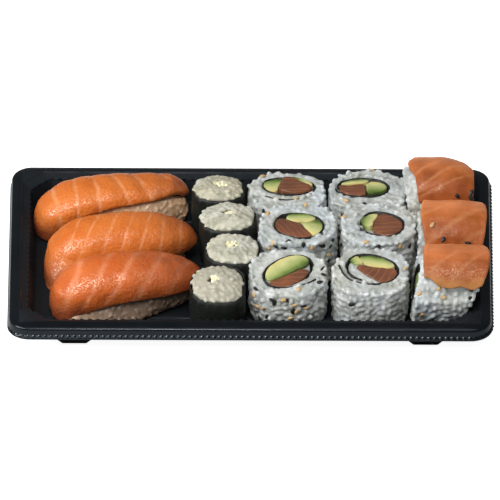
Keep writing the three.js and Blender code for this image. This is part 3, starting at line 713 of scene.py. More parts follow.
# Each section: how far it is set in, its height, the size of its corners and their roundness.
under_side = [
    (14.2, 4, 10.5, 0.2), (13.5, 4.9, 10.5, 0.2), (10.1, 17.3, 10.5, 0.1), (7.3, 18.5, 10.5, 0.1),
    (6.8, 19.1, 10.5, 0.1), (2.1, 17.8, 9.9, 1), (1.2, 12.4, 10.8, 1),
]
lip_and_rim = [
    (0.4, 12.4, 11.6, 1), (0.4, 13.4, 11.6, 1), (1.0, 13.9, 11.0, 1), (1.2, 17.6, 10.8, 1),
    (1.6, 18.5, 10.4, 1), (2.4, 18.95, 9.6, 1), (7, 20, 10.5, 0.1),
]
inner_side = [
    (7.6, 19.2, 10.5, 0.1), (11, 18, 10.5, 0.1), (13.9, 6.1, 10.5, 0.2), (15, 4.9, 10.5, 0.2),
]
rings = [tray_ring(*section) for section in under_side + lip_and_rim + inner_side]
print("Sections:", len(rings), "with", len(rings[0]), "points each")

# %% Extrude the ring through all sections
bpy.ops.mesh.primitive_circle_add(vertices=len(rings[0]), radius=0.1, fill_type="NGON")
tray = bpy.context.object
tray.name = "black_tray"
open_for_edit(tray)
for _ in rings[1:]:
    bpy.ops.mesh.extrude_region_move()
close_edit()
row = len(rings[0])
steps = {tuple(sorted(edge.vertices)) for edge in tray.data.edges}
in_order = all((i, i + row) in steps for i in range(row * (len(rings) - 1)))
print("Rings keep their order:", in_order, "and the skin has", len(tray.data.vertices), "points")
move_points(tray, np.array([point for ring in rings for point in ring]))
open_for_edit(tray)
bpy.ops.mesh.normals_make_consistent(inside=False)
close_edit()
add_and_apply(tray, "BEVEL", width=0.3 * MM, segments=2, limit_method="ANGLE", angle_limit=math.radians(25))


# %% The block that becomes a rib
def round_block(length, depth, height, rounding):
    """A block with its edges rounded by a share of its least size."""
    bpy.ops.mesh.primitive_cube_add(size=1)
    block = bpy.context.object
    open_for_edit(block)
    bpy.ops.transform.resize(value=(length * MM, depth * MM, height * MM))
    bpy.ops.mesh.bevel(offset=rounding * min(length, depth, height) * MM, segments=2, affect="EDGES")
    close_edit()
    return pattern_of(block)


# %% Walking round a ring
def walk_round(ring, pitch):
    """Evenly spaced places along a ring, each with the direction in which the ring runs there."""
    corners = np.array(ring + ring[:1])
    lengths = np.linalg.norm(np.diff(corners, axis=0), axis=1)
    reached = np.concatenate([[0], np.cumsum(lengths)])
    count = round(reached[-1] / pitch)
    stops = (np.arange(count) + 0.5) * reached[-1] / count

    def place_at(way):
        return np.stack([np.interp(way, reached, corners[:, axis]) for axis in range(3)], axis=1)

    return place_at(stops), place_at(stops + 0.3) - place_at(stops - 0.3)


# %% Ribs that follow a ring
def ribs_round(name, ring, pitch, size, lean=90.0, slant=0.0, rounding=0.32):
    """The ribs look outwards and upwards by the angle of lean, and run at a slant along the ring."""
    places, along = walk_round(ring, pitch)
    along = along / np.linalg.norm(along, axis=1, keepdims=True)
    sideways = np.stack([along[:, 1], -along[:, 0], np.zeros(len(along))], axis=1)
    upwards = np.array([0.0, 0.0, 1.0])
    lean, slant = math.radians(lean), math.radians(slant)
    outward = sideways * math.cos(lean) + upwards * math.sin(lean)
    across = np.cross(outward, along)
    return repeat(
        name, round_block(*size, rounding), places,
        axes_from(outward, along * math.cos(slant) + across * math.sin(slant)),
    )


# %% Ribs of the lip and of the ledge
# At the left end the lip's ribs lie further in, so that none of them stands out past the rim.
LEFT_END, FURTHER_IN = -118, 0.8
lip_ring = [
    (x + FURTHER_IN if x < LEFT_END else x, y, z) for x, y, z in tray_ring(0.95, 14.2, 11.05, 1)
]
lip_ribs = ribs_round("lip_ribs", lip_ring, 3.05, (2.2, 1.6, 1.3), lean=46, slant=22, rounding=0.08)
lip_ribs.data.shade_flat()
ledge_ribs = ribs_round("ledge_ribs", tray_ring(10.9, 17.6, 10.5, 0.1), 4.4, (2.0, 1.0, 1.4))
print("Points in the lip's ribs:", len(lip_ribs.data.vertices))
print("Points in the ledge's ribs:", len(ledge_ribs.data.vertices))


# %% Floor ribs and feet
def tapered_block(lower, upper, bottom, top, rounding):
    """A block between two rectangles, each given as low x, high x, low y and high y."""
    bpy.ops.mesh.primitive_cube_add(size=2)
    block = bpy.context.object
    points = points_of(block)
    shaped = []
    for x, y, z in points:
        low_x, high_x, low_y, high_y = upper if z > 0 else lower
        shaped.append((high_x if x > 0 else low_x, high_y if y > 0 else low_y, top if z > 0 else bottom))
    move_points(block, np.array(shaped))
    open_for_edit(block)
    bpy.ops.mesh.bevel(offset=rounding * MM, segments=3, affect="EDGES")
    close_edit()
    return block


FLOOR_RIBS, RIB_TOP = (-43, -14.5, 14.5, 43), FOOD_FLOOR - 0.3
FOOT_X, FOOT_OUTSIDE = 92, 60
blocks = []
for y in FLOOR_RIBS:
    lower, upper = (-107, 107, y - 1.8, y + 1.8), (-106, 106, y - 0.8, y + 0.8)
    blocks.append(tapered_block(lower, upper, 4.2, RIB_TOP, 0.35))
for x in (-FOOT_X, FOOT_X):
    for side in (-1, 1):
        tip = sorted((side * 45.5, side * FOOT_OUTSIDE))
        root = sorted((side * 41.5, side * FOOT_OUTSIDE))
        blocks.append(tapered_block((x - 6.3, x + 6.3, *tip), (x - 11.3, x + 11.3, *root), 0, 4.4, 0.5))
print("Floor ribs and feet:", len(blocks))

# %% The whole tray
tray = join_into_one([tray, lip_ribs, ledge_ribs, *blocks], "black_tray")
shade_round(tray, 30)
tray.data.materials.clear()
tray.data.materials.append(tray_plastic)
hand_over(tray, "tray")
print("Tray:", len(tray.data.polygons), "faces")

# %% [markdown]
# ## Salmon slices
# A slice for sushi is cut at a slant across the fillet, so the fat lines cross it in slanting arcs. The
# flesh between two lines swells a little and the line itself lies in a shallow groove. Each slice is a
# smoothed copy of its solid. For every point the code works out where it lies along the slice and how far
# round it, then counts the fat lines up to there. Thickness is measured straight through the slice. A slice
# is limp, so its left end is let down, drawn out or swung forward, and one right end is raised.

# %% Counting fat lines
BETWEEN_ANGLES = (-20.0, 50.0)  # the lines are given at these two angles round the slice


def count_lines(along, angles, lines):
    """How many fat lines lie before each point, with a fraction for the way to the next one."""
    share = np.clip((angles - BETWEEN_ANGLES[0]) / (BETWEEN_ANGLES[1] - BETWEEN_ANGLES[0]), -0.6, 1.7)
    first = np.array([line[0] for line in lines])
    second = np.array([line[1] for line in lines])
    here = first[None, :] * (1 - share[:, None]) + second[None, :] * share[:, None]
    margin = 0.5 * np.mean(np.diff(first))
    counts = np.empty(len(along))
    index = np.arange(len(lines), dtype=float)
    for i, row in enumerate(here):
        stops = np.concatenate([[row[0] - margin], row, [row[-1] + margin]])
        values = np.concatenate([[-0.5], index, [index[-1] + 0.5]])
        counts[i] = np.interp(along[i], stops, values)
    return counts


# %% Measuring thickness
def tree_of(pieces):
    """A search tree over the faces of several pieces, in millimetres."""
    points, faces = [], []
    for piece in pieces:
        start = len(points)
        points.extend(points_of(piece).tolist())
        faces.extend([[start + v for v in polygon.vertices] for polygon in piece.data.polygons])
    return BVHTree.FromPolygons(points, faces)


def thickness_of(piece, most=6.0):
    skin = tree_of([piece])
    depths = []
    for point, normal in zip(points_of(piece), normals_of(piece)):
        start, inward = Vector(point) - Vector(normal) * 0.05, -Vector(normal)
        found = skin.ray_cast(start, inward, most)[3]
        depths.append(most if found is None else found)
    return np.array(depths)


# %% Grooves, and where glints are painted
# Glints are painted where a slice faces one of these two ways: half way between the camera and the spark
# light, and half way between the camera and the window light.
SPARK_LIGHT_GLINT, WINDOW_LIGHT_GLINT = np.array([-0.04, -0.66, 0.75]), np.array([-0.53, -0.62, 0.58])


def press_grooves(piece, counts, groove, seed):
    """The flesh swells between the lines and ripples a little, on its outer side only."""
    points = points_of(piece)
    near_line = 0.5 - np.abs((counts % 1.0) - 0.5)
    swell = groove * (np.sqrt(np.clip(near_line * 2, 0, 1)) - 0.8)
    outer = rising(normals_of(piece)[:, 2], -0.45, 0.4)
    push_out(piece, (swell + 0.3 * ripple(points, 7.0, seed) + 0.12 * ripple(points, 2.2, seed + 1)) * outer)
    return points


# Where glints are painted: the spark light's on the front shoulder of a slice and the window light's on its
# left end, broken into patches.
def painted_glint_mask(piece, points, glint_amount, seed):
    facing = normals_of(piece)
    shoulder = np.exp((facing @ SPARK_LIGHT_GLINT - 1) / 0.05)
    left_end = np.exp((facing @ WINDOW_LIGHT_GLINT - 1) / 0.04)
    patchy = np.clip(0.65 + 1.3 * ripple(points, 8.0, seed), 0, 1)
    return np.clip((shoulder + 0.8 * left_end) * patchy, 0, 1) * glint_amount


# %% Finishing a slice
def finish_slice(piece, node, counts, painted_shade, pale, glint_amount, groove, seed, finish):
    """Thickness is measured once the grooves are in, so thin flesh is found at its real place."""
    points = press_grooves(piece, counts, groove, seed)
    note(piece, "line", counts)
    note(piece, "thin", falling(thickness_of(piece), 2.3, 2.0) * 0.75)
    note(piece, "pale", pale)
    note(piece, "painted_shade", np.clip(painted_shade, 0, 1))
    note(piece, "glint_paint", painted_glint_mask(piece, points, glint_amount, seed + 3))
    piece.data.materials.append(finish)
    piece.data.shade_smooth()
    hand_over(piece, node)
    slices[node] = piece
    print(piece.name, len(piece.data.polygons), "faces")


slices = {}

# %% What each nigiri slice is like
# The middle of the piece and its turn on the tray come first. Places along the slice are counted from that
# middle, and each fat line has two of them, one for each of the two angles above.
nigiri = {
    "back": dict(
        middle=(-72.7, 39.8), turn=10.5, height=23.5, finish=salmon_thin_lines, groove=0.55, glint_amount=0.5,
        lines=[(-30.3, -29.5), (-19.8, -20.7), (-9.5, -9.2), (0.4, 7.5), (13, 18.5), (28.5, 38)],
        shade_from=8, hang_from=-14, hang_over=16, hang=6, reach=1.2, swing=0, lift=4,
    ),
    "middle": dict(
        middle=(-68.4, 4.2), turn=11, height=24.6, finish=salmon_thin_lines, groove=0.25, glint_amount=0.5,
        lines=[
            (-20.5, -31), (-10.5, -22.5), (0, -10.4), (8.5, -0.7), (17.5, 9.2), (24.5, 20), (33, 30.5),
        ],
        shade_from=10, hang_from=-14, hang_over=16, hang=9, reach=-0.4, swing=11, lift=0,
    ),
    "front": dict(
        middle=(-64.4, -31.8), turn=11.5, height=25, finish=salmon_soft_bands, groove=0.25, glint_amount=0.8,
        lines=[(-24, -31.5), (-8, -20.5), (6.8, -8), (20.5, 7.3), (34, 23.8)],
        shade_from=-6, hang_from=-28, hang_over=5, hang=6, reach=0.4, swing=0, lift=0,
    ),
}
print("Nigiri:", list(nigiri))


# %% The three nigiri slices
def let_hang(points, along, low, fish):
    """The left end hangs down, reaches out to the left and swings forward. The right end is raised."""
    at_end = falling(along, fish["hang_from"], fish["hang_over"])
    points[:, 2] = np.maximum(points[:, 2] - fish["hang"] * at_end * low, FOOD_FLOOR + 0.2)
    points[:, 0] -= fish["reach"] * at_end ** 2
    points[:, 1] -= fish["swing"] * at_end * low
    points[:, 2] += fish["lift"] * rising(along, 16, 16) ** 1.5
    return points


for seed, (where, fish) in enumerate(nigiri.items()):
    node = f"nigiri_{where}_salmon"
    piece = copy_of_solid(node, f"salmon_slice_{where}")
    smooth(piece, 3)
    push_out(piece, 0.3)
    points = points_of(piece)
    turn, height = math.radians(fish["turn"]), fish["height"]
    off = points[:, :2] - np.array(fish["middle"])
    along = off[:, 0] * math.cos(turn) + off[:, 1] * math.sin(turn)
    side = off[:, 1] * math.cos(turn) - off[:, 0] * math.sin(turn)
    angles = np.degrees(np.arctan2(-side, points[:, 2] - FOOD_FLOOR - 0.42 * height))
    low = falling(points[:, 2], FOOD_FLOOR + 0.62 * height, 0.4 * height)
    shade = np.clip(1.6 * low, 0, 1) * falling(along, -20, 8)
    points = let_hang(points, along, low, fish)
    move_points(piece, points)
    # Painted shade: the right end of each slice lies away from the lights, and so does the low part of its
    # left end.
    right_end_shade = 0.55 * rising(along, fish["shade_from"], 26) * (1 + 0.5 * ripple(points, 6.0, 12 + seed))
    finish_slice(
        piece, node, count_lines(along, angles, fish["lines"]), painted_shade=right_end_shade + 0.95 * shade,
        pale=np.zeros(len(points)), glint_amount=fish["glint_amount"], groove=fish["groove"], seed=10 + seed,
        finish=fish["finish"],
    )

# %% [markdown]
# ## Slices over the rolls
# A topping is laid over a roll that lies on its side and is pressed down round it. It follows the roll's
# top and hangs free below. So every point is described by its angle round the roll's middle line and its
# distance from that line. A droop that grows with the angle lets the edge hang, and noise makes it ragged.
# Cloth simulation could drape it too, but a slice is thick and stiff enough to keep the shape of its solid.

# %% What each topping is like
# The middle of the roll across the tray, how much the slice droops, how much shade and how much glint
# are painted on it, and its fat lines as places along the tray.
topped = {
    "back": dict(
        middle_y=40.0, droop=0.17, shaded=0.04, glint_amount=0.0,
        lines=[(88, 60), (102.1, 73.4), (115, 85.5), (138.4, 93.2)],
    ),
    "middle": dict(
        middle_y=0.9, droop=0.17, shaded=0.04, glint_amount=0.15, lines=[(108.6, 67), (127, 97), (150, 117.3)],
    ),
    "front": dict(middle_y=-38.2, droop=0.07, shaded=0.2, glint_amount=0.4, lines=[(114.5, 88.2), (128, 105)]),
}
TOPPED_AXIS = FOOD_FLOOR + 19.2  # how high the middle line of a lying roll is
print("Toppings:", list(topped))


# %% The three slices that lie over the rolls on the right
def drape(points, angles, where, droop, seed):
    """The angle that each point hangs to. The lower edge is ragged, and pulled up at the front roll."""
    hang = np.radians(angles + droop * np.clip(angles, 0, None) ** 2 / 60)
    hang += np.radians(7) * ripple(points * [1, 0, 0], 7.0, 41 + seed) * rising(angles, 25, 25)
    if where == "front":
        hang -= np.radians(7) * rising(angles, 20, 30) * (0.6 + falling(points[:, 0], 108, 14))
    return hang


def draw_in_left_edge(points, angles):
    """The back topping is cut at a slant, so its left edge lies further in at the back and the front."""
    inwards = 2.4 * np.exp(-((angles + 40) / 20) ** 2) + 4.5 * rising(angles, -10, 32)
    points[:, 0] += falling(points[:, 0], 95, 14) * inwards
    return points


for seed, (where, fish) in enumerate(topped.items()):
    node = f"topped_{where}_salmon"
    piece = copy_of_solid(node, f"topping_{where}")
    cut_finer(piece, 3)
    add_and_apply(piece, "SMOOTH", factor=0.5, iterations=10)
    points = points_of(piece)
    forwards, up = fish["middle_y"] - points[:, 1], points[:, 2] - TOPPED_AXIS
    angles = np.degrees(np.arctan2(forwards, up))
    reach = np.hypot(forwards, up) + 1.1 * np.exp(-((angles + 48) / 18) ** 2)
    hang = drape(points, angles, where, fish["droop"], seed)
    if where == "back":
        points = draw_in_left_edge(points, angles)
    points[:, 1] = fish["middle_y"] - reach * np.sin(hang)
    points[:, 2] = TOPPED_AXIS + reach * np.cos(hang)
    move_points(piece, points)
    angles = np.degrees(hang)
    # Painted shade on the lower part of each topping, and a little on the whole of it, most on the front
    # one. Painted light on its top.
    lower_shade = 0.22 * rising(angles, 12, 25) * (1 + 0.6 * ripple(points, 8.0, 25 + seed))
    finish_slice(
        piece, node, count_lines(points[:, 0], angles, fish["lines"]), painted_shade=lower_shade + 0.95 * fish["shaded"],
        pale=0.85 * np.clip((28 - angles) / 60 + 0.4 * ripple(points, 9.0, 24 + seed), 0, 1),
        glint_amount=fish["glint_amount"], groove=0.3, seed=20 + seed, finish=salmon_topping,
    )
    if where == "front":
        clear = (angles - 38) / 24 + 0.5 * ripple(points, 5.0, 31) + 0.3 * ripple(points, 2.4, 33)
        note(piece, "thin", np.clip(clear, 0, 0.7))

# %% [markdown]
# ## The inside-out rolls
# An inside-out roll is a sheet of seaweed rolled round its fillings, with the rice on the outside. Cutting
# and packing press its oval out of shape, so each roll has the oval of its solid and the oval it was pressed
# to. Points in between are moved with it, and the outside of the roll stays in place, apart from its
# corners. Seaweed, rice and fillings all use the same two ovals, so they still fit round each other. Wet
# seaweed also tears and folds, so its band is drawn thicker and thinner along its way.

# %% The inside-out rolls and their openings
# Each roll: its middle, half its length, its height and its fall towards the front.
roll_shapes = {
    "back_left": (19.2, 38.2, 20.7, 22.4, -3), "back_right": (62, 38.2, 20.9, 23.4, 0),
    "middle_left": (25, 0.3, 20.7, 29.2, 0), "middle_right": (67.4, 0.3, 20.2, 29.4, 0),
    "front_left": (19.8, -37.6, 20.4, 24.6, 7), "front_right": (63.1, -37.6, 20.5, 25.6, 7),
}
ROLLS = list(roll_shapes)
HALF_DEPTH = 18.5  # from the middle of each roll to its front and to its back
# The seaweed oval of each roll as the solid has it, and as pressing has left it: its middle from the
# middle of the roll, its half lengths and its turn.
ovals = {
    "back_left": ((0.3, 4.6, 13.6, 7.2, -4), (0.5, 5.0, 13.5, 8.0, -5)),
    "back_right": ((-2.4, 2.6, 13.4, 7.6, -3), (-2.4, 2.6, 13.6, 8.0, -3)),
    "middle_left": ((0, 0, 13.4, 10, -10), (0.4, -1.8, 13.0, 10.6, -12)),
    "middle_right": ((1.4, 1.2, 12, 8.4, -25), (1.6, -0.6, 11.8, 10.2, -30)),
    "front_left": ((0.5, 0.5, 13.8, 9, 28), (0.0, 1.4, 14.8, 9.8, 43)),
    "front_right": ((1, 3.2, 13.8, 8.2, -20), (0.8, 2.2, 14.0, 10.4, -20)),
}
print("Inside-out rolls:", ROLLS)


# %% Places in an oval, and places on it
def in_oval(x, y, oval):
    """Places as a share of the way from the oval's middle to its rim, and the direction there."""
    middle_x, middle_y, half_x, half_y, turn = oval
    turn = math.radians(turn)
    along = (x - middle_x) * math.cos(turn) + (y - middle_y) * math.sin(turn)
    aside = (y - middle_y) * math.cos(turn) - (x - middle_x) * math.sin(turn)
    return np.hypot(along / half_x, aside / half_y), np.arctan2(aside / half_y, along / half_x)


def on_oval(direction, oval, share=1.0):
    """The reverse: where the given directions and shares lie."""
    middle_x, middle_y, half_x, half_y, turn = oval
    turn = math.radians(turn)
    along, aside = share * half_x * np.cos(direction), share * half_y * np.sin(direction)
    x = middle_x + along * math.cos(turn) - aside * math.sin(turn)
    y = middle_y + along * math.sin(turn) + aside * math.cos(turn)
    return x, y


# %% Pressing a roll
BAND = 0.13  # the seaweed's thickness in the solids, as a share of its oval
STILL = 1.5  # from this share of the oval outwards, thinning the seaweed moves nothing


def out_share(x, y, half_x):
    """How far out a place is in the roll, from 0 at its middle to 1 at its rounded outside."""
    return (np.abs(x / half_x) ** 2.2 + np.abs(y / HALF_DEPTH) ** 2.2) ** (1 / 2.2)


def press_oval(x, y, before, after, half_x):
    """The oval moves to its pressed shape, and what lies further out moves with it less and less."""
    _, direction = in_oval(x, y, before)
    old_x, old_y = on_oval(direction, before)
    new_x, new_y = on_oval(direction, after)
    share = falling(out_share(x, y, half_x), 1, 1 - out_share(old_x, old_y, half_x))
    return x + (new_x - old_x) * share, y + (new_y - old_y) * share


def thin_seaweed(x, y, oval, seed_x, seed_y):
    """The band is thinner at the front of its oval than at the back, and uneven all round."""
    share, direction = in_oval(x, y, oval)
    uneven = 0.2 * np.sin(3 * direction + seed_x) + 0.16 * np.sin(8 * direction + seed_y)
    kept = np.clip(0.48 + 0.35 * np.clip(np.sin(direction), 0, 1) + uneven, 0.25, 1)
    in_band = 1 + (share - 1) * kept
    outside = 1 + BAND * kept
    beyond = outside + (share - 1 - BAND) * (STILL - outside) / (STILL - 1 - BAND)
    thinned = np.where(share < 1 + BAND, in_band, beyond)
    return on_oval(direction, oval, np.where((share < 1) | (share > STILL), share, thinned))


def press_roll(points, where):
    """Rolls packed side by side are pressed square too: their corners move out into the gaps."""
    middle_x, middle_y, half_x, _, _ = roll_shapes[where]
    before, after = ovals[where]
    x, y = press_oval(points[:, 0] - middle_x, points[:, 1] - middle_y, before, after, half_x)
    x, y = thin_seaweed(x, y, after, middle_x, middle_y)
    corner = np.abs(np.sin(2 * np.arctan2(y / HALF_DEPTH, x / half_x)))
    grown = 1 + 0.075 * corner * rising(out_share(x, y, half_x), 0.7, 0.3)
    moved = points.copy()
    moved[:, 0], moved[:, 1] = x * grown + middle_x, y * grown + middle_y
    return moved


# %% [markdown]
# ## Fillings of the inside-out rolls
# Sticks of raw salmon and wedges of avocado run through each roll and are cut off with it. Soft fish and
# ripe avocado drag under the knife, so each cut face is domed, wavy and lies a little below the rice. Each
# stick is drawn as its outline on the cut, extruded down through the roll, drawn in and raised at the top,
# and then smoothed. Before that, the outlines of one roll swell until they touch, because rolling presses
# the sticks against each other. Avocado stores how far each point is from its green skin.

# %% The outlines on each cut, in millimetres from the middle of the roll
# Each filling: its kind, how far its back lies below the cut, the side its green skin is on as an
# angle, and its outline. A stick with a negative depth stands proud all over.
fillings = {
    "back_left": [
        ("avocado", 0.3, 100, [(-11.5, 5.9), (-10.7, 9.8), (-8.3, 12.2), (-4.6, 12.7), (-2, 12.2),
                               (-3.1, 8.8), (-4.1, 4.9), (-5.7, 1.6), (-8.3, 0.6), (-10.4, 2.5)]),
        ("salmon", -1.2, 0, [(-1.7, 13.6), (0.6, 14.6), (2.7, 12.7), (6.9, 9.8), (10.1, 6.9), (13, 3.5),
                             (11.1, 0.1), (8.5, -1.3), (5.4, -2.3), (1.7, -0.4), (-1.5, 1.1), (-4.6, 2.1),
                             (-5.2, 3.5), (-3.1, 8.8)]),
        ("avocado", -1.0, 200, [(2.2, 14.1), (5.4, 12.7), (9.6, 8.8), (13.2, 4), (11.7, 4), (6.9, 7.8),
                                (2.7, 11.7)]),
    ],
    "back_right": [
        ("avocado", 0.6, 100, [(-14.8, 5), (-13.8, 7.7), (-10.6, 9.9), (-7, 10.4), (-3.3, 9.9), (-0.1, 8.1),
                               (-1.2, 6.3), (-5.4, 5.4), (-10.1, 4.6)]),
        ("salmon", 0.4, 0, [(-15.9, 4.1), (-10.1, 4.6), (-5.4, 5.4), (-1.2, 5.9), (-0.9, 1.4), (-1.2, -1.3),
                            (-5.4, -3.5), (-11.7, -5.3), (-13.3, -2.2), (-14.8, 1.4)]),
        ("avocado", 1.2, -90, [(-0.1, 5.9), (2.5, 6.8), (5.7, 5), (8.8, 2.3), (5.1, 0.5), (1.5, -1.7),
                               (-0.9, -1.3), (-1.2, 2.3)]),
    ],
    "middle_left": [
        ("salmon", 0.1, 0, [(-12, 1.8), (-7.8, 3.2), (-3.1, 0.9), (1.1, 0.9), (2.7, -2.6), (5.3, -8),
                            (9, -11.6), (3.8, -12.9), (-3.6, -12.5), (-7.3, -9.8), (-10.4, -5.3),
                            (-12, -1.8)]),
        ("avocado", 0.1, 90, [(-5.7, 4.5), (-2, 6.7), (0.6, 5.4), (2.7, 8.1), (5.9, 9.9), (8, 8.5),
                              (9.5, 3.6), (6.9, 0.9), (4.3, 0), (1.7, 2.7), (-3.1, 0.9)]),
        ("avocado", 0.1, 60, [(1.1, 2.7), (4.3, 0), (8, 2.7), (10.1, 2.7), (11.6, -3.5), (12.2, -7.1),
                               (10.1, -9.8), (7.4, -10.7), (5.3, -7.1), (2.7, -2.6)]),
    ],
    "middle_right": [
        ("avocado", 0.9, 170, [(-8.1, 8.7), (-5.5, 8.7), (-0.8, 8.3), (-0.3, 5.1), (-3.4, 0.7), (-2.4, -2),
                               (-5.5, -1.1), (-7.6, 3.3)]),
        ("salmon", 0.9, 0, [(-0.8, 8.7), (3.4, 9.6), (8.2, 7.8), (10.8, 3.3), (11.6, -2.9), (10.8, -7.4),
                            (8.2, -10.1), (3.9, -11.9), (2.4, -8.3), (0.8, -4.7), (-1.8, -2), (-3.4, 0.7)]),
    ],
    "front_left": [
        ("avocado", 0.1, -50, [(-10, -3.5), (-8.9, 1.9), (-6.3, 8), (-2.1, 11.9), (3.7, 13), (9, 13.8),
                               (10, 11.9), (9.5, 8), (5.3, 3.4), (1.1, 0.4), (-3.1, -2.7), (-7.3, -5),
                               (-10.5, -6.9)]),
        ("salmon", 0.5, 0, [(-9.4, -8), (-6.3, -6.1), (1.1, -1.9), (6.3, 1.9), (10.3, 3.4), (9, -1.2),
                            (6.3, -4.2), (2.1, -8.8), (-1, -11.9), (-4.7, -12.6), (-7.9, -10.3)]),
    ],
    "front_right": [
        ("avocado", 0.6, 200, [(-12.5, 12.2), (-10.2, 13.7), (-7.5, 12.2), (-4.9, 9.1), (-3.8, 6.1),
                               (-6.5, 5.3), (-9.1, 7.6), (-11.2, 9.9)]),
        ("avocado", 1.0, 80, [(-7.5, 12.2), (-3.3, 11.8), (1.9, 10.3), (7.2, 8.4), (9.8, 6.8), (12.5, 5.3),
                              (12.5, 2.3), (9.3, 1.9), (3, 3), (-2.3, 4.6), (-4.4, 6.8)]),
        ("salmon", 0.5, 0, [(-8.1, 5.3), (-3.8, 5.3), (3, 3), (9.3, 1.5), (13, 1.9), (13.5, -1.6),
                            (12.5, -5.4), (9.8, -7.7), (7.2, -9.2), (4, -6.2), (-0.2, -2.3), (-4.9, 0.7)]),
    ],
}
print("Sticks in the rolls:", sum(len(sticks) for sticks in fillings.values()))


# %% From corners to a smooth line
def even_outline(outline, count=28):
    """Evenly spaced points on a smooth closed line near the given corners."""
    corners = np.array(outline, dtype=float)
    for _ in range(2):
        after = np.roll(corners, -1, axis=0)
        pairs = np.stack([0.75 * corners + 0.25 * after, 0.25 * corners + 0.75 * after], axis=1)
        corners = pairs.reshape(-1, 2)
    closed = np.vstack([corners, corners[:1]])
    reached = np.concatenate([[0], np.cumsum(np.linalg.norm(np.diff(closed, axis=0), axis=1))])
    stops = np.arange(count) * reached[-1] / count
    return np.stack([np.interp(stops, reached, closed[:, axis]) for axis in range(2)], axis=1)


# %% Sticks that swell until they touch
STEP = 0.2  # how far they swell at a time


def inside(points, outline):
    """A point is inside when a ray from it crosses the closed outline an odd number of times."""
    start, end = outline, np.roll(outline, -1, axis=0)
    x, y = points[:, :1], points[:, 1:]
    over = (start[:, 1] > y) != (end[:, 1] > y)
    rise = np.where(end[:, 1] == start[:, 1], 1e-9, end[:, 1] - start[:, 1])
    crossing = start[:, 0] + (y - start[:, 1]) * (end[:, 0] - start[:, 0]) / rise
    return (over & (x < crossing)).sum(axis=1) % 2 == 1


def press_together(lines, oval, most):
    """Lets the sticks swell in small steps until they touch each other or the seaweed."""
    for _ in range(round(most / STEP)):
        for i, line in enumerate(lines):
            ahead = np.roll(line, -1, axis=0) - np.roll(line, 1, axis=0)
            out = np.stack([ahead[:, 1], -ahead[:, 0]], axis=1)
            out /= np.linalg.norm(out, axis=1, keepdims=True) + 1e-9
            area = np.sum(line[:, 0] * np.roll(line[:, 1], -1) - np.roll(line[:, 0], -1) * line[:, 1])
            step = line + STEP * out * np.sign(area)
            free = in_oval(step[:, 0], step[:, 1], oval)[0] < 1.02
            for j, other in enumerate(lines):
                if j != i:
                    free &= ~inside(step, other)
            moved = np.where(free[:, None], step, line)
            lines[i] = 0.92 * moved + 0.04 * (np.roll(moved, 1, axis=0) + np.roll(moved, -1, axis=0))
    return lines


# %% A stick from its outline
def extruded_stick(name, line, cut):
    """A prism from the roll's foot to its cut face. line holds its outline and cut its upper heights."""
    count = len(line)
    bpy.ops.mesh.primitive_circle_add(vertices=count, radius=1, fill_type="NGON")
    stick = bpy.context.object
    stick.name = name
    open_for_edit(stick)
    bpy.ops.mesh.extrude_region_move(TRANSFORM_OT_translate={"value": (0, 0, -1)})
    close_edit()
    top = np.column_stack([line, cut])
    foot = np.column_stack([line, np.full(count, FOOD_FLOOR + 0.4)])
    points = points_of(stick)
    upper = points[:, 2] > -0.5 / MM
    order = np.degrees(np.arctan2(points[:, 1], points[:, 0])) % 360 / 360 * count
    index = np.round(order - order[upper][0]).astype(int) % count
    move_points(stick, np.where(upper[:, None], top[index], foot[index]))
    return stick


# %% Its cut face
def dome_the_cut(stick, pivot):
    """The upper face is extruded twice, each time smaller and higher, and closed to a point."""
    open_for_edit(stick)
    bpy.ops.mesh.select_all(action="DESELECT")
    close_edit()
    ends = [polygon for polygon in stick.data.polygons if len(polygon.vertices) > 4]
    max(ends, key=lambda polygon: polygon.center.z).select = True
    bpy.ops.object.mode_set(mode="EDIT")
    for size, rise in ((0.95, 0.3), (0.6, 0.12)):
        bpy.ops.mesh.extrude_region_move()
        bpy.ops.transform.resize(value=(size, size, 1), center_override=pivot)
        bpy.ops.transform.translate(value=(0, 0, rise * MM))
    bpy.ops.mesh.poke()
    bpy.ops.mesh.select_all(action="SELECT")
    bpy.ops.mesh.normals_make_consistent(inside=False)
    close_edit()


# %% The finished stick
def stick_of_filling(where, number, kind, below, skin_angle, line):
    """Salmon stores a count of its fat lines, and avocado how far each point is from its skin."""
    middle_x, middle_y, _, height, fall = roll_shapes[where]
    backness = (line[:, 1] - line[:, 1].min()) / np.ptp(line[:, 1])
    sunk = below * (backness if below > 0 else 1.0) + 0.1
    cut = FOOD_FLOOR + height + math.tan(math.radians(fall)) * line[:, 1] - sunk
    placed = line + np.array([middle_x, middle_y])
    stick = extruded_stick(f"roll_{where}_{kind}_{number}", placed, cut)
    dome_the_cut(stick, (*placed.mean(axis=0) * MM, cut.mean() * MM))
    smooth(stick, 3)
    seed = 200 + 10 * ROLLS.index(where) + number
    points = points_of(stick)
    push_out(stick, 0.35 * ripple(points * [1, 1, 0.4], 5.0, seed) + 0.05 * ripple(points, 2.6, seed + 1))
    local = points[:, :2] - np.array([middle_x, middle_y])
    if kind == "salmon":
        bend = ripple(points * [1, 1, 0], 9.0, seed + 2)
        turned = local[:, 0] * math.cos(0.6 + number) + local[:, 1] * math.sin(0.6 + number)
        note(stick, "line", turned / 3.4 + 0.5 * bend)
        stick.data.materials.append(fish_filling)
    else:
        out = math.radians(skin_angle)
        reach = local[:, 0] * math.cos(out) + local[:, 1] * math.sin(out)
        note(stick, "ripe", (reach.max() - reach) / np.ptp(reach))
        stick.data.materials.append(avocado)
    stick.data.shade_smooth()
    return stick


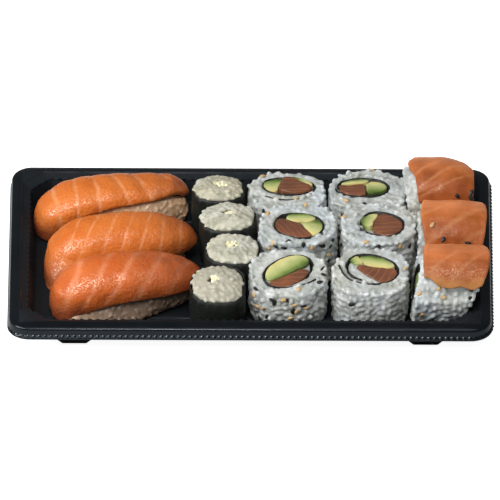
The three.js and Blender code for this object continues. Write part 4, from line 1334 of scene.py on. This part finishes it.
# %% All sticks of the inside-out rolls
# How far the sticks of each roll swell at most, in millimetres.
swelling = {
    "back_left": 2.4, "back_right": 3.0, "middle_left": 3.4, "middle_right": 3.2, "front_left": 3.0,
    "front_right": 1.6,
}
BACKWARDS = 1 / math.tan(ELEVATION)  # how far back a cut that lies 1 mm lower goes, to look the same
roll_sticks = {}
for where, sticks in fillings.items():
    oval = ovals[where][1]
    lines = []
    for kind, below, _, outline in sticks:
        line = even_outline(outline)
        line[:, 1] += BACKWARDS * (max(below, 0) * 0.5 + 0.2)
        share, direction = in_oval(line[:, 0], line[:, 1], oval)
        lines.append(np.stack(on_oval(direction, oval, np.minimum(share, 1.0)), axis=1))
    lines = press_together(lines, oval, swelling[where])
    roll_sticks[where] = []
    stood_for = set()
    for number, ((kind, below, skin_angle, _), line) in enumerate(zip(sticks, lines)):
        stick = stick_of_filling(where, number, kind, below, skin_angle, line)
        hand_over(stick, None if kind in stood_for else f"roll_{where}_{kind}")
        stood_for.add(kind)
        roll_sticks[where].append(stick)
    print("Roll", where, "holds", [stick[0] for stick in sticks])

# %% [markdown]
# ## Rice
# Pressed rice is a heap of single grains. Each block of rice is rebuilt as a core, which is its solid
# drawn in a little, and a skin of real grains pressed into it. A grain is a short, plump, slightly bent
# ellipsoid. Places are picked at random over the open faces, and any that lie too close to one already
# picked are dropped. A place counts as open when nothing of the same sushi stands just in front of it.
#
# Cooked grains stick together and have no gaps under them. So the heap is melted into one skin by a fine
# voxel remesh and smoothed, and half of its faces are merged away, which can't be seen. Each point of the
# new skin takes the tone of the grains nearest to it.

# %% Three shapes of grain
def grain_pattern(length, breadth, depth, bend, taper):
    bpy.ops.mesh.primitive_uv_sphere_add(segments=7, ring_count=5, radius=1)
    grain = bpy.context.object
    open_for_edit(grain)
    bpy.ops.transform.rotate(value=math.radians(90), orient_axis="Y", center_override=(0, 0, 0))
    close_edit()
    points = points_of(grain) * MM
    x = np.sign(points[:, 0]) * np.abs(points[:, 0]) ** 0.85
    narrow = 1 - taper * x
    y = points[:, 1] * breadth / 2 * narrow + bend * (x ** 2 - 0.4)
    z = points[:, 2] * depth / 2 * narrow
    move_points(grain, np.stack([x * length / 2, y, z], axis=1))
    return pattern_of(grain)


grain_shapes = [
    grain_pattern(3.9, 2.9, 2.6, 0.15, 0.08),
    grain_pattern(3.5, 3.0, 2.7, -0.1, 0.05),
    grain_pattern(4.6, 2.7, 2.4, 0.3, 0.10),
]
print("A grain has", len(grain_shapes[0][0]), "points and", len(grain_shapes[0][1]), "faces")


# %% Random places on a block of rice
def scattered(block, spacing, chance):
    """Far more places than are needed, spread evenly over the faces, and the way each face looks."""
    block.data.calc_loop_triangles()
    corners = np.array([triangle.vertices[:] for triangle in block.data.loop_triangles])
    points = points_of(block)
    a, b, c = points[corners[:, 0]], points[corners[:, 1]], points[corners[:, 2]]
    across = np.cross(b - a, c - a)
    areas = np.linalg.norm(across, axis=1)
    count = int(areas.sum() / 2 / spacing ** 2 * 7)
    pick = chance.choice(len(areas), count, p=areas / areas.sum())
    u, v = chance.random(count), chance.random(count)
    flip = u + v > 1
    u[flip], v[flip] = 1 - u[flip], 1 - v[flip]
    spots = a[pick] + (b - a)[pick] * u[:, None] + (c - a)[pick] * v[:, None]
    return spots, across[pick] / areas[pick][:, None]


# %% Picking the open ones, no two too close together
def open_places(block, others, spacing, clear, seed, wanted=None):
    """others are the pieces that may cover the rice, and clear is how near to them a grain may lie."""
    own, near = tree_of([block]), tree_of(others) if others else None
    taken, places, directions = {}, [], []
    for spot, out in zip(*scattered(block, spacing, np.random.default_rng(seed))):
        cell = tuple((spot // spacing).astype(int))
        around = [
            other
            for dx in (-1, 0, 1) for dy in (-1, 0, 1) for dz in (-1, 0, 1)
            for other in taken.get((cell[0] + dx, cell[1] + dy, cell[2] + dz), ())
        ]
        if any(np.dot(spot - other, spot - other) < spacing ** 2 for other in around):
            continue
        if wanted is not None and not wanted(spot, out):
            continue
        if spot[2] < FOOD_FLOOR + 0.9 and out[2] < 0.3:
            continue
        here, direction = Vector(spot), Vector(out)
        if near is not None:
            if near.find_nearest(here, clear)[0] is not None:
                continue
            if near.ray_cast(here + direction * 0.1, direction, 5.0)[0] is not None:
                continue
        if own.ray_cast(here + direction * 0.2, direction, 3.0)[0] is not None:
            continue
        taken.setdefault(cell, []).append(spot)
        places.append(spot)
        directions.append(out)
    return np.array(places), np.array(directions)


# %% Laying grains
def lay_grains(name, places, directions, seed, sink):
    """Grains pressed into a surface, each with a random turn and its own brightness. Painted shade darkens a
    grain at its foot, and painted light brightens its outer side.
    """
    chance = np.random.default_rng(seed + 500)
    count = len(places)
    outward = directions + chance.normal(0, 0.08, (count, 3))
    turns = axes_from(outward, chance.normal(0, 1, (count, 3)))
    turns = turns * chance.uniform(0.86, 1.1, count)[:, None, None]
    normals = turns[:, :, 2] / np.linalg.norm(turns[:, :, 2], axis=1, keepdims=True)
    depth = sink + 0.3 * np.clip(directions[:, 2], 0, 1) - chance.normal(0, 0.14, count)
    centres = places - directions * depth[:, None]
    kind = chance.integers(0, len(grain_shapes), count)
    batches = []
    for i, shape in enumerate(grain_shapes):
        mine = kind == i
        batch = repeat(f"{name}_{i}", shape, centres[mine], turns[mine])
        size = len(shape[0])
        tones = np.repeat(np.clip(chance.normal(0.78, 0.14, mine.sum()), 0, 1), size)
        from_middle = points_of(batch) - np.repeat(centres[mine], size, axis=0)
        rise = np.sum(from_middle * np.repeat(normals[mine], size, axis=0), axis=1)
        note(batch, "tone_and_shade", np.clip(tones + 0.16 * rise, 0, 1))
        batches.append(batch)
    return join_into_one(batches, name)


# %% Melting the grains into one skin
VOXEL = 0.42


def fuse(block, rounds):
    """rounds says how often the skin is smoothed."""
    points, tones = points_of(block), read(block, "tone_and_shade")
    nearest = KDTree(len(points))
    for i, point in enumerate(points):
        nearest.insert(point, i)
    nearest.balance()
    add_and_apply(block, "REMESH", mode="VOXEL", voxel_size=VOXEL * MM)
    add_and_apply(block, "SMOOTH", factor=0.5, iterations=rounds)
    add_and_apply(block, "DECIMATE", ratio=0.5)
    note(block, "tone_and_shade", [
        np.mean([tones[i] for _, i, _ in nearest.find_n(point, 7)]) for point in points_of(block)
    ])
    block.data.shade_smooth()


def rice_from(core, places, directions, node, finish, seed, sink, rounds):
    """Core and grains become one block, which stands for the solid of that node."""
    core.data.shade_smooth()
    grains = lay_grains(f"{node}_grains", places, directions, seed, sink)
    grains.data.materials.append(finish)
    core.data.materials.clear()
    core.data.materials.append(finish)
    block = join_into_one([core, grains], f"grains_of_{node}")
    fuse(block, rounds)
    hand_over(block, node)
    print(block.name, len(places), "grains,", len(block.data.polygons), "faces")
    return block


# %% Part of a band of seaweed
def keep_part(piece, name, keep):
    """A copy of the points of a piece that are to be kept, closed where it was cut."""
    part = new_piece(name, piece.data.copy())
    open_for_edit(part)
    bpy.ops.mesh.select_all(action="DESELECT")
    close_edit()
    part.data.vertices.foreach_set("select", ~keep)
    bpy.ops.object.mode_set(mode="EDIT")
    bpy.ops.mesh.delete(type="VERT")
    bpy.ops.mesh.select_all(action="SELECT")
    bpy.ops.mesh.fill_holes(sides=0)
    bpy.ops.mesh.normals_make_consistent(inside=False)
    close_edit()
    return part


def oval_share(piece, where):
    points = points_of(piece)
    middle_x, middle_y = roll_shapes[where][:2]
    return in_oval(points[:, 0] - middle_x, points[:, 1] - middle_y, ovals[where][1])[0]


# %% Rice between the turns of a roll
TAIL_FROM = 1.12  # seaweed this far out from the oval is the loose end of the sheet
# How far below the cut the rice between the sticks lies, in millimetres.
SHALLOW_RICE, DEEP_RICE = {"front_left": 0.8, "front_right": 0.7}, 3.0


def rice_round_tail(guide, where):
    """Rice that closes the slot round the loose end of the seaweed."""
    tail = keep_part(guide, f"{where}_tail", oval_share(guide, where) > TAIL_FROM)
    push_out(tail, 0.5)
    return tail


def rice_in_oval(where, count=32):
    """Rice that fills the oval between the sticks, a little below the cut."""
    middle_x, middle_y, _, height, fall = roll_shapes[where]
    directions = np.linspace(0, 2 * math.pi, count + 1)[:-1]
    x, y = on_oval(directions, ovals[where][1], 0.93)
    bpy.ops.mesh.primitive_cylinder_add(vertices=count, radius=1, depth=2)
    filler = bpy.context.object
    points = points_of(filler)
    order = np.degrees(np.arctan2(points[:, 1], points[:, 0])) % 360 / 360 * count
    index = np.round(order).astype(int) % count
    below = SHALLOW_RICE.get(where, DEEP_RICE)
    cut = FOOD_FLOOR + height + math.tan(math.radians(fall)) * y - below
    heights = np.where(points[:, 2] > 0, cut[index], FOOD_FLOOR + 0.5)
    move_points(filler, np.stack([x[index] + middle_x, y[index] + middle_y, heights], axis=1))
    open_for_edit(filler)
    bpy.ops.mesh.quads_convert_to_tris()
    close_edit()
    cut_finer(filler, 2)
    return filler


# %% Where rice has settled
def settle(points, node):
    """Loose rice that has sunk forwards or spread to one side after the fish was laid on it."""
    x, y, z = points.T
    moved = points.copy()
    if node == "nigiri_front_rice":  # low down at its left end it has sunk 6 mm forwards
        moved[:, 1] -= 6.0 * falling(z, 16, 9) * falling(x, -42, 14)
    if node == "nigiri_back_rice":  # its right end has spread 4.5 mm
        moved[:, 0] += 4.5 * rising(x, -58, 20)
    if node == "topped_front_rice":  # low down at its front it bulges by 3.4 mm
        moved[:, 1] -= 3.4 * falling(z, 24, 14) ** 1.5 * (y < -40)
    return moved


# %% What covers the rice
def guide_of(node):
    """A copy of what lies on the rice: the shaped slice where there is one, otherwise the solid."""
    if node in slices:
        return new_piece(f"{node}_guide", slices[node].data.copy())
    return copy_of_solid(node, f"{node}_guide", quads=False)


# %% A block of rice
def block_of_rice(node, neighbours, seed, finish=rice, clear=1.0, roll=None, sink=0.52, rounds=4):
    core = copy_of_solid(node, f"{node}_core", quads=False)
    guides = [guide_of(other) for other in neighbours]
    cut_finer(core, 2)
    if roll:
        for piece in [core, *guides]:
            move_points(piece, press_roll(points_of(piece), roll))
        seaweed_band = guides[0]
        tail = rice_round_tail(seaweed_band, roll)
        core = join_into_one([core, tail, rice_in_oval(roll)], core.name)
        oval = keep_part(seaweed_band, f"{roll}_oval", oval_share(seaweed_band, roll) < TAIL_FROM)
        covering = [oval, *roll_sticks[roll]]
        guides.append(oval)
    else:
        add_and_apply(core, "SMOOTH", factor=0.5, iterations=6)
        covering = guides
    move_points(core, settle(points_of(core), node))
    places, directions = open_places(core, covering, 2.6, clear, seed)
    points = points_of(core)
    push_out(core, 0.6 * ripple(points, 9.0, seed + 0.5) - 0.2)
    places = places + directions * (0.6 * ripple(places, 9.0, seed + 0.5))[:, None]
    # The core shows only in the gaps between the grains, so it is painted darker than they are, as shade.
    note(core, "tone_and_shade", np.full(len(points), 0.5))
    for guide in guides:
        bpy.data.objects.remove(guide)
    return rice_from(core, places, directions, node, finish, seed, sink, rounds)


rice_blocks = []

# %% Rice of the nigiri
for seed, where in enumerate(nigiri):
    block = block_of_rice(
        f"nigiri_{where}_rice", [f"nigiri_{where}_salmon"], 40 + seed,
        deep_shaded_rice if where == "front" else shaded_rice, clear=0.5, sink=0.7, rounds=6,
    )
    if where == "front":
        # The fish shades this block more and more towards its right end.
        to_the_right = rising(points_of(block)[:, 0], -96, 36)
        note(block, "tone_and_shade", read(block, "tone_and_shade") * (1 - 0.85 * to_the_right))
    rice_blocks.append(block)

# %% Rice of the inside-out rolls
for seed, where in enumerate(ROLLS):
    block = block_of_rice(f"roll_{where}_rice", [f"roll_{where}_nori"], 50 + seed, clear=1.25, roll=where)
    rice_blocks.append(block)

# %% Rice of the topped rolls
for seed, where in enumerate(topped):
    parts = [f"topped_{where}_{part}" for part in ("nori", "avocado", "salmon")]
    rice_blocks.append(block_of_rice(f"topped_{where}_rice", parts, 60 + seed))

# %% [markdown]
# ## Thin rolls
# A thin roll is cut into short pieces that stand on end. The rice swells out of the seaweed at the cut, so
# each face is a low dome of grains. The dome is made by lifting the face of the core in its middle. The
# soft cheese sits in the middle of it, pressed flat by the knife and crumbling into the rice.

# %% The shapes of the thin rolls
# Each entry: middle of the piece, half its length and breadth, height, and fall towards the front.
thin_rolls = {
    "back": (-17, 40.8, 14.3, 13.4, 22, -5),
    "middle_back": (-11.8, 12.4, 15.4, 13.8, 24, -2),
    "middle_front": (-9.2, -16.2, 15.2, 14, 24, 0),
    "front": (-17.4, -45.4, 14.6, 14, 22.4, 9),
}


def cut_height(roll, y):
    """The height of a thin roll's cut face at a place, before the rice swells out of it."""
    _, middle_y, _, _, height, fall = roll
    return FOOD_FLOOR + height + np.tan(np.radians(fall)) * (y - middle_y)


def dome_share(roll, x, y):
    middle_x, middle_y, half_x, half_y = roll[:4]
    out = ((x - middle_x) / half_x) ** 2 + ((y - middle_y) / half_y) ** 2
    return np.clip(1 - out, 0, 1)


def squared_off(points):
    """The front thin roll is pressed square on its right side."""
    middle = np.array(thin_rolls["front"][:2])
    off = points[:, :2] - middle
    angle = np.arctan2(off[:, 1], off[:, 0])
    grown = 1 + 0.13 * np.clip(np.cos(angle), 0, 1) ** 0.5 * np.abs(np.sin(2 * angle))
    pressed = points.copy()
    pressed[:, :2] = middle + off * grown[:, None]
    return pressed


print("Thin rolls:", list(thin_rolls))


# %% Rice of the thin rolls
def thin_rice(where, seed):
    roll = thin_rolls[where]
    node = f"thin_{where}_rice"
    core = copy_of_solid(node, f"{node}_core", quads=False)
    cut_finer(core, 2)
    points = squared_off(points_of(core)) if where == "front" else points_of(core)
    on_face = rising(points[:, 2], cut_height(roll, points[:, 1]) - 2, 2)
    points[:, 2] += on_face * (3.6 * dome_share(roll, points[:, 0], points[:, 1]) ** 0.6 - 0.8)
    move_points(core, points)
    places, directions = open_places(core, [], 2.3, 1.0, seed, lambda spot, out: out[2] > 0.3)
    points[:, 2] -= 0.2 * on_face
    move_points(core, points)
    # The core shows only in the gaps between the grains, so it is painted darker than they are, as shade.
    note(core, "tone_and_shade", np.full(len(points), 0.4))
    return rice_from(core, places, directions, node, creamy_rice, seed, sink=0.52, rounds=5)


for seed, where in enumerate(thin_rolls):
    block = thin_rice(where, 70 + seed)
    # The rice of the front roll is painted darker all over, as shade.
    if where == "front":
        note(block, "tone_and_shade", 0.25 * read(block, "tone_and_shade"))
    rice_blocks.append(block)

# %% [markdown]
# ## Seaweed
# Pressed seaweed is paper thin, but it softens against wet rice and follows its bumps. Each band is a copy
# of its solid, cut finer and pushed in and out a little, with an edge that never runs quite straight. In
# the inside-out rolls it is pressed with the roll, and its loose end sinks into the rice or stands proud.

# %% Bands of seaweed
WAVES = 0.22
SUNK_ENDS = ("back_right", "middle_right", "middle_left")


def press_band(points, roll):
    """Presses the band with its roll, and moves the upper edge of its loose end down or up."""
    points = press_roll(points, roll)
    middle_x, middle_y = roll_shapes[roll][:2]
    share, _ = in_oval(points[:, 0] - middle_x, points[:, 1] - middle_y, ovals[roll][1])
    rise = -1.8 if roll in SUNK_ENDS else 0.45
    points[:, 2] += rise * (share > TAIL_FROM) * (points[:, 2] > FOOD_FLOOR + 10)
    return points


def band_of_seaweed(node, seed):
    band = copy_of_solid(node, f"{node}_sheet", quads=False)
    cut_finer(band, 2)
    points = points_of(band)
    if node == "thin_front_nori":
        points = squared_off(points)
    roll = node.removeprefix("roll_").removesuffix("_nori")
    if roll in roll_shapes:
        points = press_band(points, roll)
    wave = np.stack([ripple(points, 4.0, seed + 0.1 * axis) for axis in range(2)], axis=1)
    fine = np.stack([ripple(points, 1.6, seed + 0.5 + 0.1 * axis) for axis in range(2)], axis=1)
    points[:, :2] += WAVES * (wave + 0.4 * fine)
    top = rising(points[:, 2], FOOD_FLOOR + 6, 8)
    points[:, 2] += 0.25 * top * ripple(points * [1, 1, 0], 2.5, seed + 3)
    move_points(band, points)
    band.data.materials.append(seaweed)
    shade_round(band, 50)
    hand_over(band, node)


sheets = [name for name in nodes if name.endswith("_nori")]
for seed, node in enumerate(sorted(sheets)):
    band_of_seaweed(node, 100 + seed)
print("Seaweed bands:", len(sheets))

# %% [markdown]
# ## Fillings of the other rolls
# The topped rolls show only the ends of their sticks of avocado, and the thin rolls only the knife-flat
# end of their soft cheese. Both are copies of their solids, smoothed and roughened. Crumbs of cheese are
# pressed into the rice round it.

# %% Avocado of the topped rolls
for seed, where in enumerate(topped):
    node = f"topped_{where}_avocado"
    stick = copy_of_solid(node, f"{node}_stick")
    smooth(stick, 2)
    points = points_of(stick)
    push_out(stick, 0.25 * ripple(points, 3.5, 300 + seed))
    height = points[:, 2]
    note(stick, "ripe", 0.8 * (height.max() - height) / np.ptp(height))
    stick.data.materials.append(avocado)
    stick.data.shade_smooth()
    hand_over(stick, node)
print("Avocado in", list(topped))


# %% A crumb of cheese
bpy.ops.mesh.primitive_ico_sphere_add(subdivisions=2, radius=1 * MM)
lump = bpy.context.object
points = points_of(lump)
lumpy = 1 + 0.3 * ripple(points, 0.9, 5)
move_points(lump, points * lumpy[:, None] * [1, 1, 0.7])
crumb = pattern_of(lump)
print("A crumb has", len(crumb[1]), "faces")

# %% Where the cheese and its crumbs lie
CRUMBS = 70
# Where the cheese shows on each face: its middle from the middle of the roll, and half its spread.
cheese_spots = {
    "back": (0.5, 0.5, 5.4, 3.4), "middle_back": (2.2, -1.0, 3.8, 3.4),
    "middle_front": (1.6, 1.8, 5.4, 3.8), "front": (-0.5, 3.2, 3.0, 2.6),
}


def crumbs_on(roll, spot, chance, name):
    """Crumbs round the middle of the cheese. Nearly a third of them fall a little further out."""
    off_x, off_y, spread_x, spread_y = spot
    distance = np.sqrt(chance.random(CRUMBS)) * np.where(chance.random(CRUMBS) < 0.3, 1.35, 0.95)
    angle = chance.random(CRUMBS) * 2 * math.pi
    x = roll[0] + off_x + spread_x * distance * np.cos(angle)
    y = roll[1] + off_y + spread_y * distance * np.sin(angle)
    on_dome = cut_height(roll, y) + 3.0 * dome_share(roll, x, y) ** 0.5 - 0.9
    z = on_dome + chance.uniform(-0.5, 0.35, CRUMBS)
    turns = axes_from(chance.normal(0, 0.3, (CRUMBS, 3)) + [0, 0, 1], chance.normal(0, 1, (CRUMBS, 3)))
    sizes = chance.uniform(0.45, 1.15, CRUMBS) * np.clip(1.35 - 0.5 * distance, 0.4, 1)
    return repeat(name, crumb, np.stack([x, y, z], axis=1), turns * sizes[:, None, None])


# %% Cheese of the thin rolls
for seed, (where, spot) in enumerate(cheese_spots.items()):
    roll = thin_rolls[where]
    node = f"thin_{where}_cheese"
    core = copy_of_solid(node, f"{node}_core")
    smooth(core, 2)
    points = points_of(core)
    points[:, 2] += 2.0 * rising(points[:, 2], cut_height(roll, points[:, 1]) - 2, 2)
    move_points(core, points)
    push_out(core, 0.3 * ripple(points, 1.8, 320 + seed))
    crumbs = crumbs_on(roll, spot, np.random.default_rng(330 + seed), f"{node}_crumbs")
    curds = join_into_one([core, crumbs], f"cheese_{where}")
    curds.data.materials.append(cheese)
    curds.data.shade_smooth()
    hand_over(curds, node)
print("Cheese in", list(cheese_spots))

# %% [markdown]
# ## Sesame
# Inside-out rolls are turned in black and toasted white sesame, and a few seeds fall on the neighbours. A
# seed is a flat drop, pointed at one end. The ones that can be seen have set places, and the far sides
# carry random ones. Every seed is moved to the nearest point of the rice and lies flat on it.

# %% A seed
bpy.ops.mesh.primitive_uv_sphere_add(segments=12, ring_count=8, radius=1)
drop = bpy.context.object
open_for_edit(drop)
bpy.ops.transform.rotate(value=math.radians(90), orient_axis="Y", center_override=(0, 0, 0))
close_edit()
length, breadth, thickness = points_of(drop).T * MM
taper = 1 - 0.38 * length - 0.12 * length ** 2
move_points(drop, np.stack([1.6 * length, 0.95 * taper * breadth, 0.5 * taper * thickness], axis=1))
seed_shape = pattern_of(drop)
print("A seed has", len(seed_shape[1]), "faces")

# %% Where the seeds lie that fell on set places
black_places = [
    (7.7, 23.1, 27.4), (14.2, -15.2, 31.9), (17.2, -16.0, 31.8), (19.8, -16.4, 34.7), (37.4, -14.3, 32.1),
    (40.9, -11.1, 29.5), (27.7, -17.0, 33.8), (42.3, -8.9, 31.3), (48.7, 24.2, 23.0), (82.4, -11.8, 30.1),
    (49.3, -7.1, 26.6), (66.9, -17.2, 33.3), (3.3, -47.9, 27.7), (11.4, -54.0, 25.8), (12.9, -54.5, 23.4),
    (19.3, -55.2, 25.2), (27.7, -54.5, 22.9), (22.5, -55.7, 19.1), (9.8, -53.7, 14.3), (5.6, -51.1, 11.2),
    (0.8, -41.0, 20.0), (39.6, -13.1, 21.9), (38.5, -34.5, 30.7), (38.5, -39.5, 30.1), (36.6, -44.9, 29.4),
    (39.3, -39.8, 17.9), (53.5, -53.5, 22.0), (56.1, 55.5, 29.0), (108.9, 24.8, 35.3), (116.3, 26.4, 36.1),
    (116.0, 24.8, 34.0), (101.2, -15.0, 35.6), (114.2, -15.3, 33.9), (115.5, -51.8, 30.5),
    (115.5, -54.7, 26.8),
]
toasted_places = [
    (12.4, -14.1, 33.0), (10.4, -12.7, 29.5), (32.8, -16.5, 32.2), (9.2, 9.3, 34.9), (29.1, 16.4, 34.9),
    (49.0, 4.5, 35.1), (60.8, -16.5, 34.8), (78.5, -14.3, 31.6), (82.2, 37.9, 16.7), (50.3, 28.4, 29.1),
    (2.5, -47.7, 23.8), (7.2, -52.1, 18.7), (23.0, -55.5, 22.5), (24.8, -55.5, 18.9), (21.4, -55.6, 14.7),
    (17.0, -55.0, 25.4), (29.1, -54.2, 20.6), (39.8, -12.7, 23.6), (4.0, -49.6, 17.9), (25.4, -50.0, 28.8),
    (43.4, -6.9, 10.5), (81.2, -35.8, 31.5), (63.5, 55.7, 29.1), (24.0, 31.0, 28.5), (34.5, 55.9, 24.1),
    (95.5, -9.4, 41.3), (98.9, -51.9, 31.3), (101.1, -54.3, 27.2), (88.2, -53.3, 28.4), (90.3, -54.1, 16.6),
]


# %% Random places for the other seeds
def strewn(count, seed):
    """Random places on the far sides of the inside-out rolls."""
    chance = np.random.default_rng(seed)
    places = []
    for _ in range(count):
        x, y, half_x, height, _ = roll_shapes[ROLLS[chance.integers(0, 6)]]
        angle = chance.uniform(0.05, math.pi - 0.05)
        side = (x + half_x * math.cos(angle), y + HALF_DEPTH * math.sin(angle))
        places.append((*side, chance.uniform(9, 5 + height)))
    return places


# %% Laying the seeds
resting = tree_of(rice_blocks + list(slices.values()))


def lay_seeds(name, wanted, finish, seed, size):
    """Each seed lies on the nearest surface and looks the mean way of the grains round it."""
    chance = np.random.default_rng(seed)
    places, outward = [], []
    for place in wanted:
        point = resting.find_nearest(Vector(place))[0]
        mean = np.zeros(3)
        for _ in range(8):
            near = resting.find_nearest(Vector(place) + Vector(chance.normal(0, 0.8, 3)))
            mean += np.array(near[1])
        places.append(np.array(point) + 0.35 * mean / np.linalg.norm(mean))
        outward.append(mean)
    count = len(places)
    turns = axes_from(np.array(outward), chance.normal(0, 1, (count, 3)))
    turns = turns * (size * chance.uniform(0.88, 1.1, count))[:, None, None]
    seeds = repeat(name, seed_shape, np.array(places), turns)
    note(seeds, "tone_and_shade", np.repeat(chance.random(count) * 0.7, len(seed_shape[0])))
    seeds.data.materials.append(finish)
    hand_over(seeds)
    print(name, count, "seeds")


lay_seeds("black_sesame", black_places + strewn(34, 7), black_husk, 400, 1.15)
lay_seeds("toasted_sesame", toasted_places + strewn(26, 8), toasted_husk, 401, 1.1)

# %% [markdown]
# ## Closing the scene
# The box round the finished tray is printed beside the box of the CAD solids, axis by axis, so that one
# can see whether anything has grown out of it.

# %% Sizes, and the end
full_box = [list(corner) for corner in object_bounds()]
for word, low, high, cad_low, cad_high in zip("XYZ", *full_box, *cad_box):
    print(word, [round(v / MM, 2) for v in (low, high, cad_low, cad_high)], "mm")
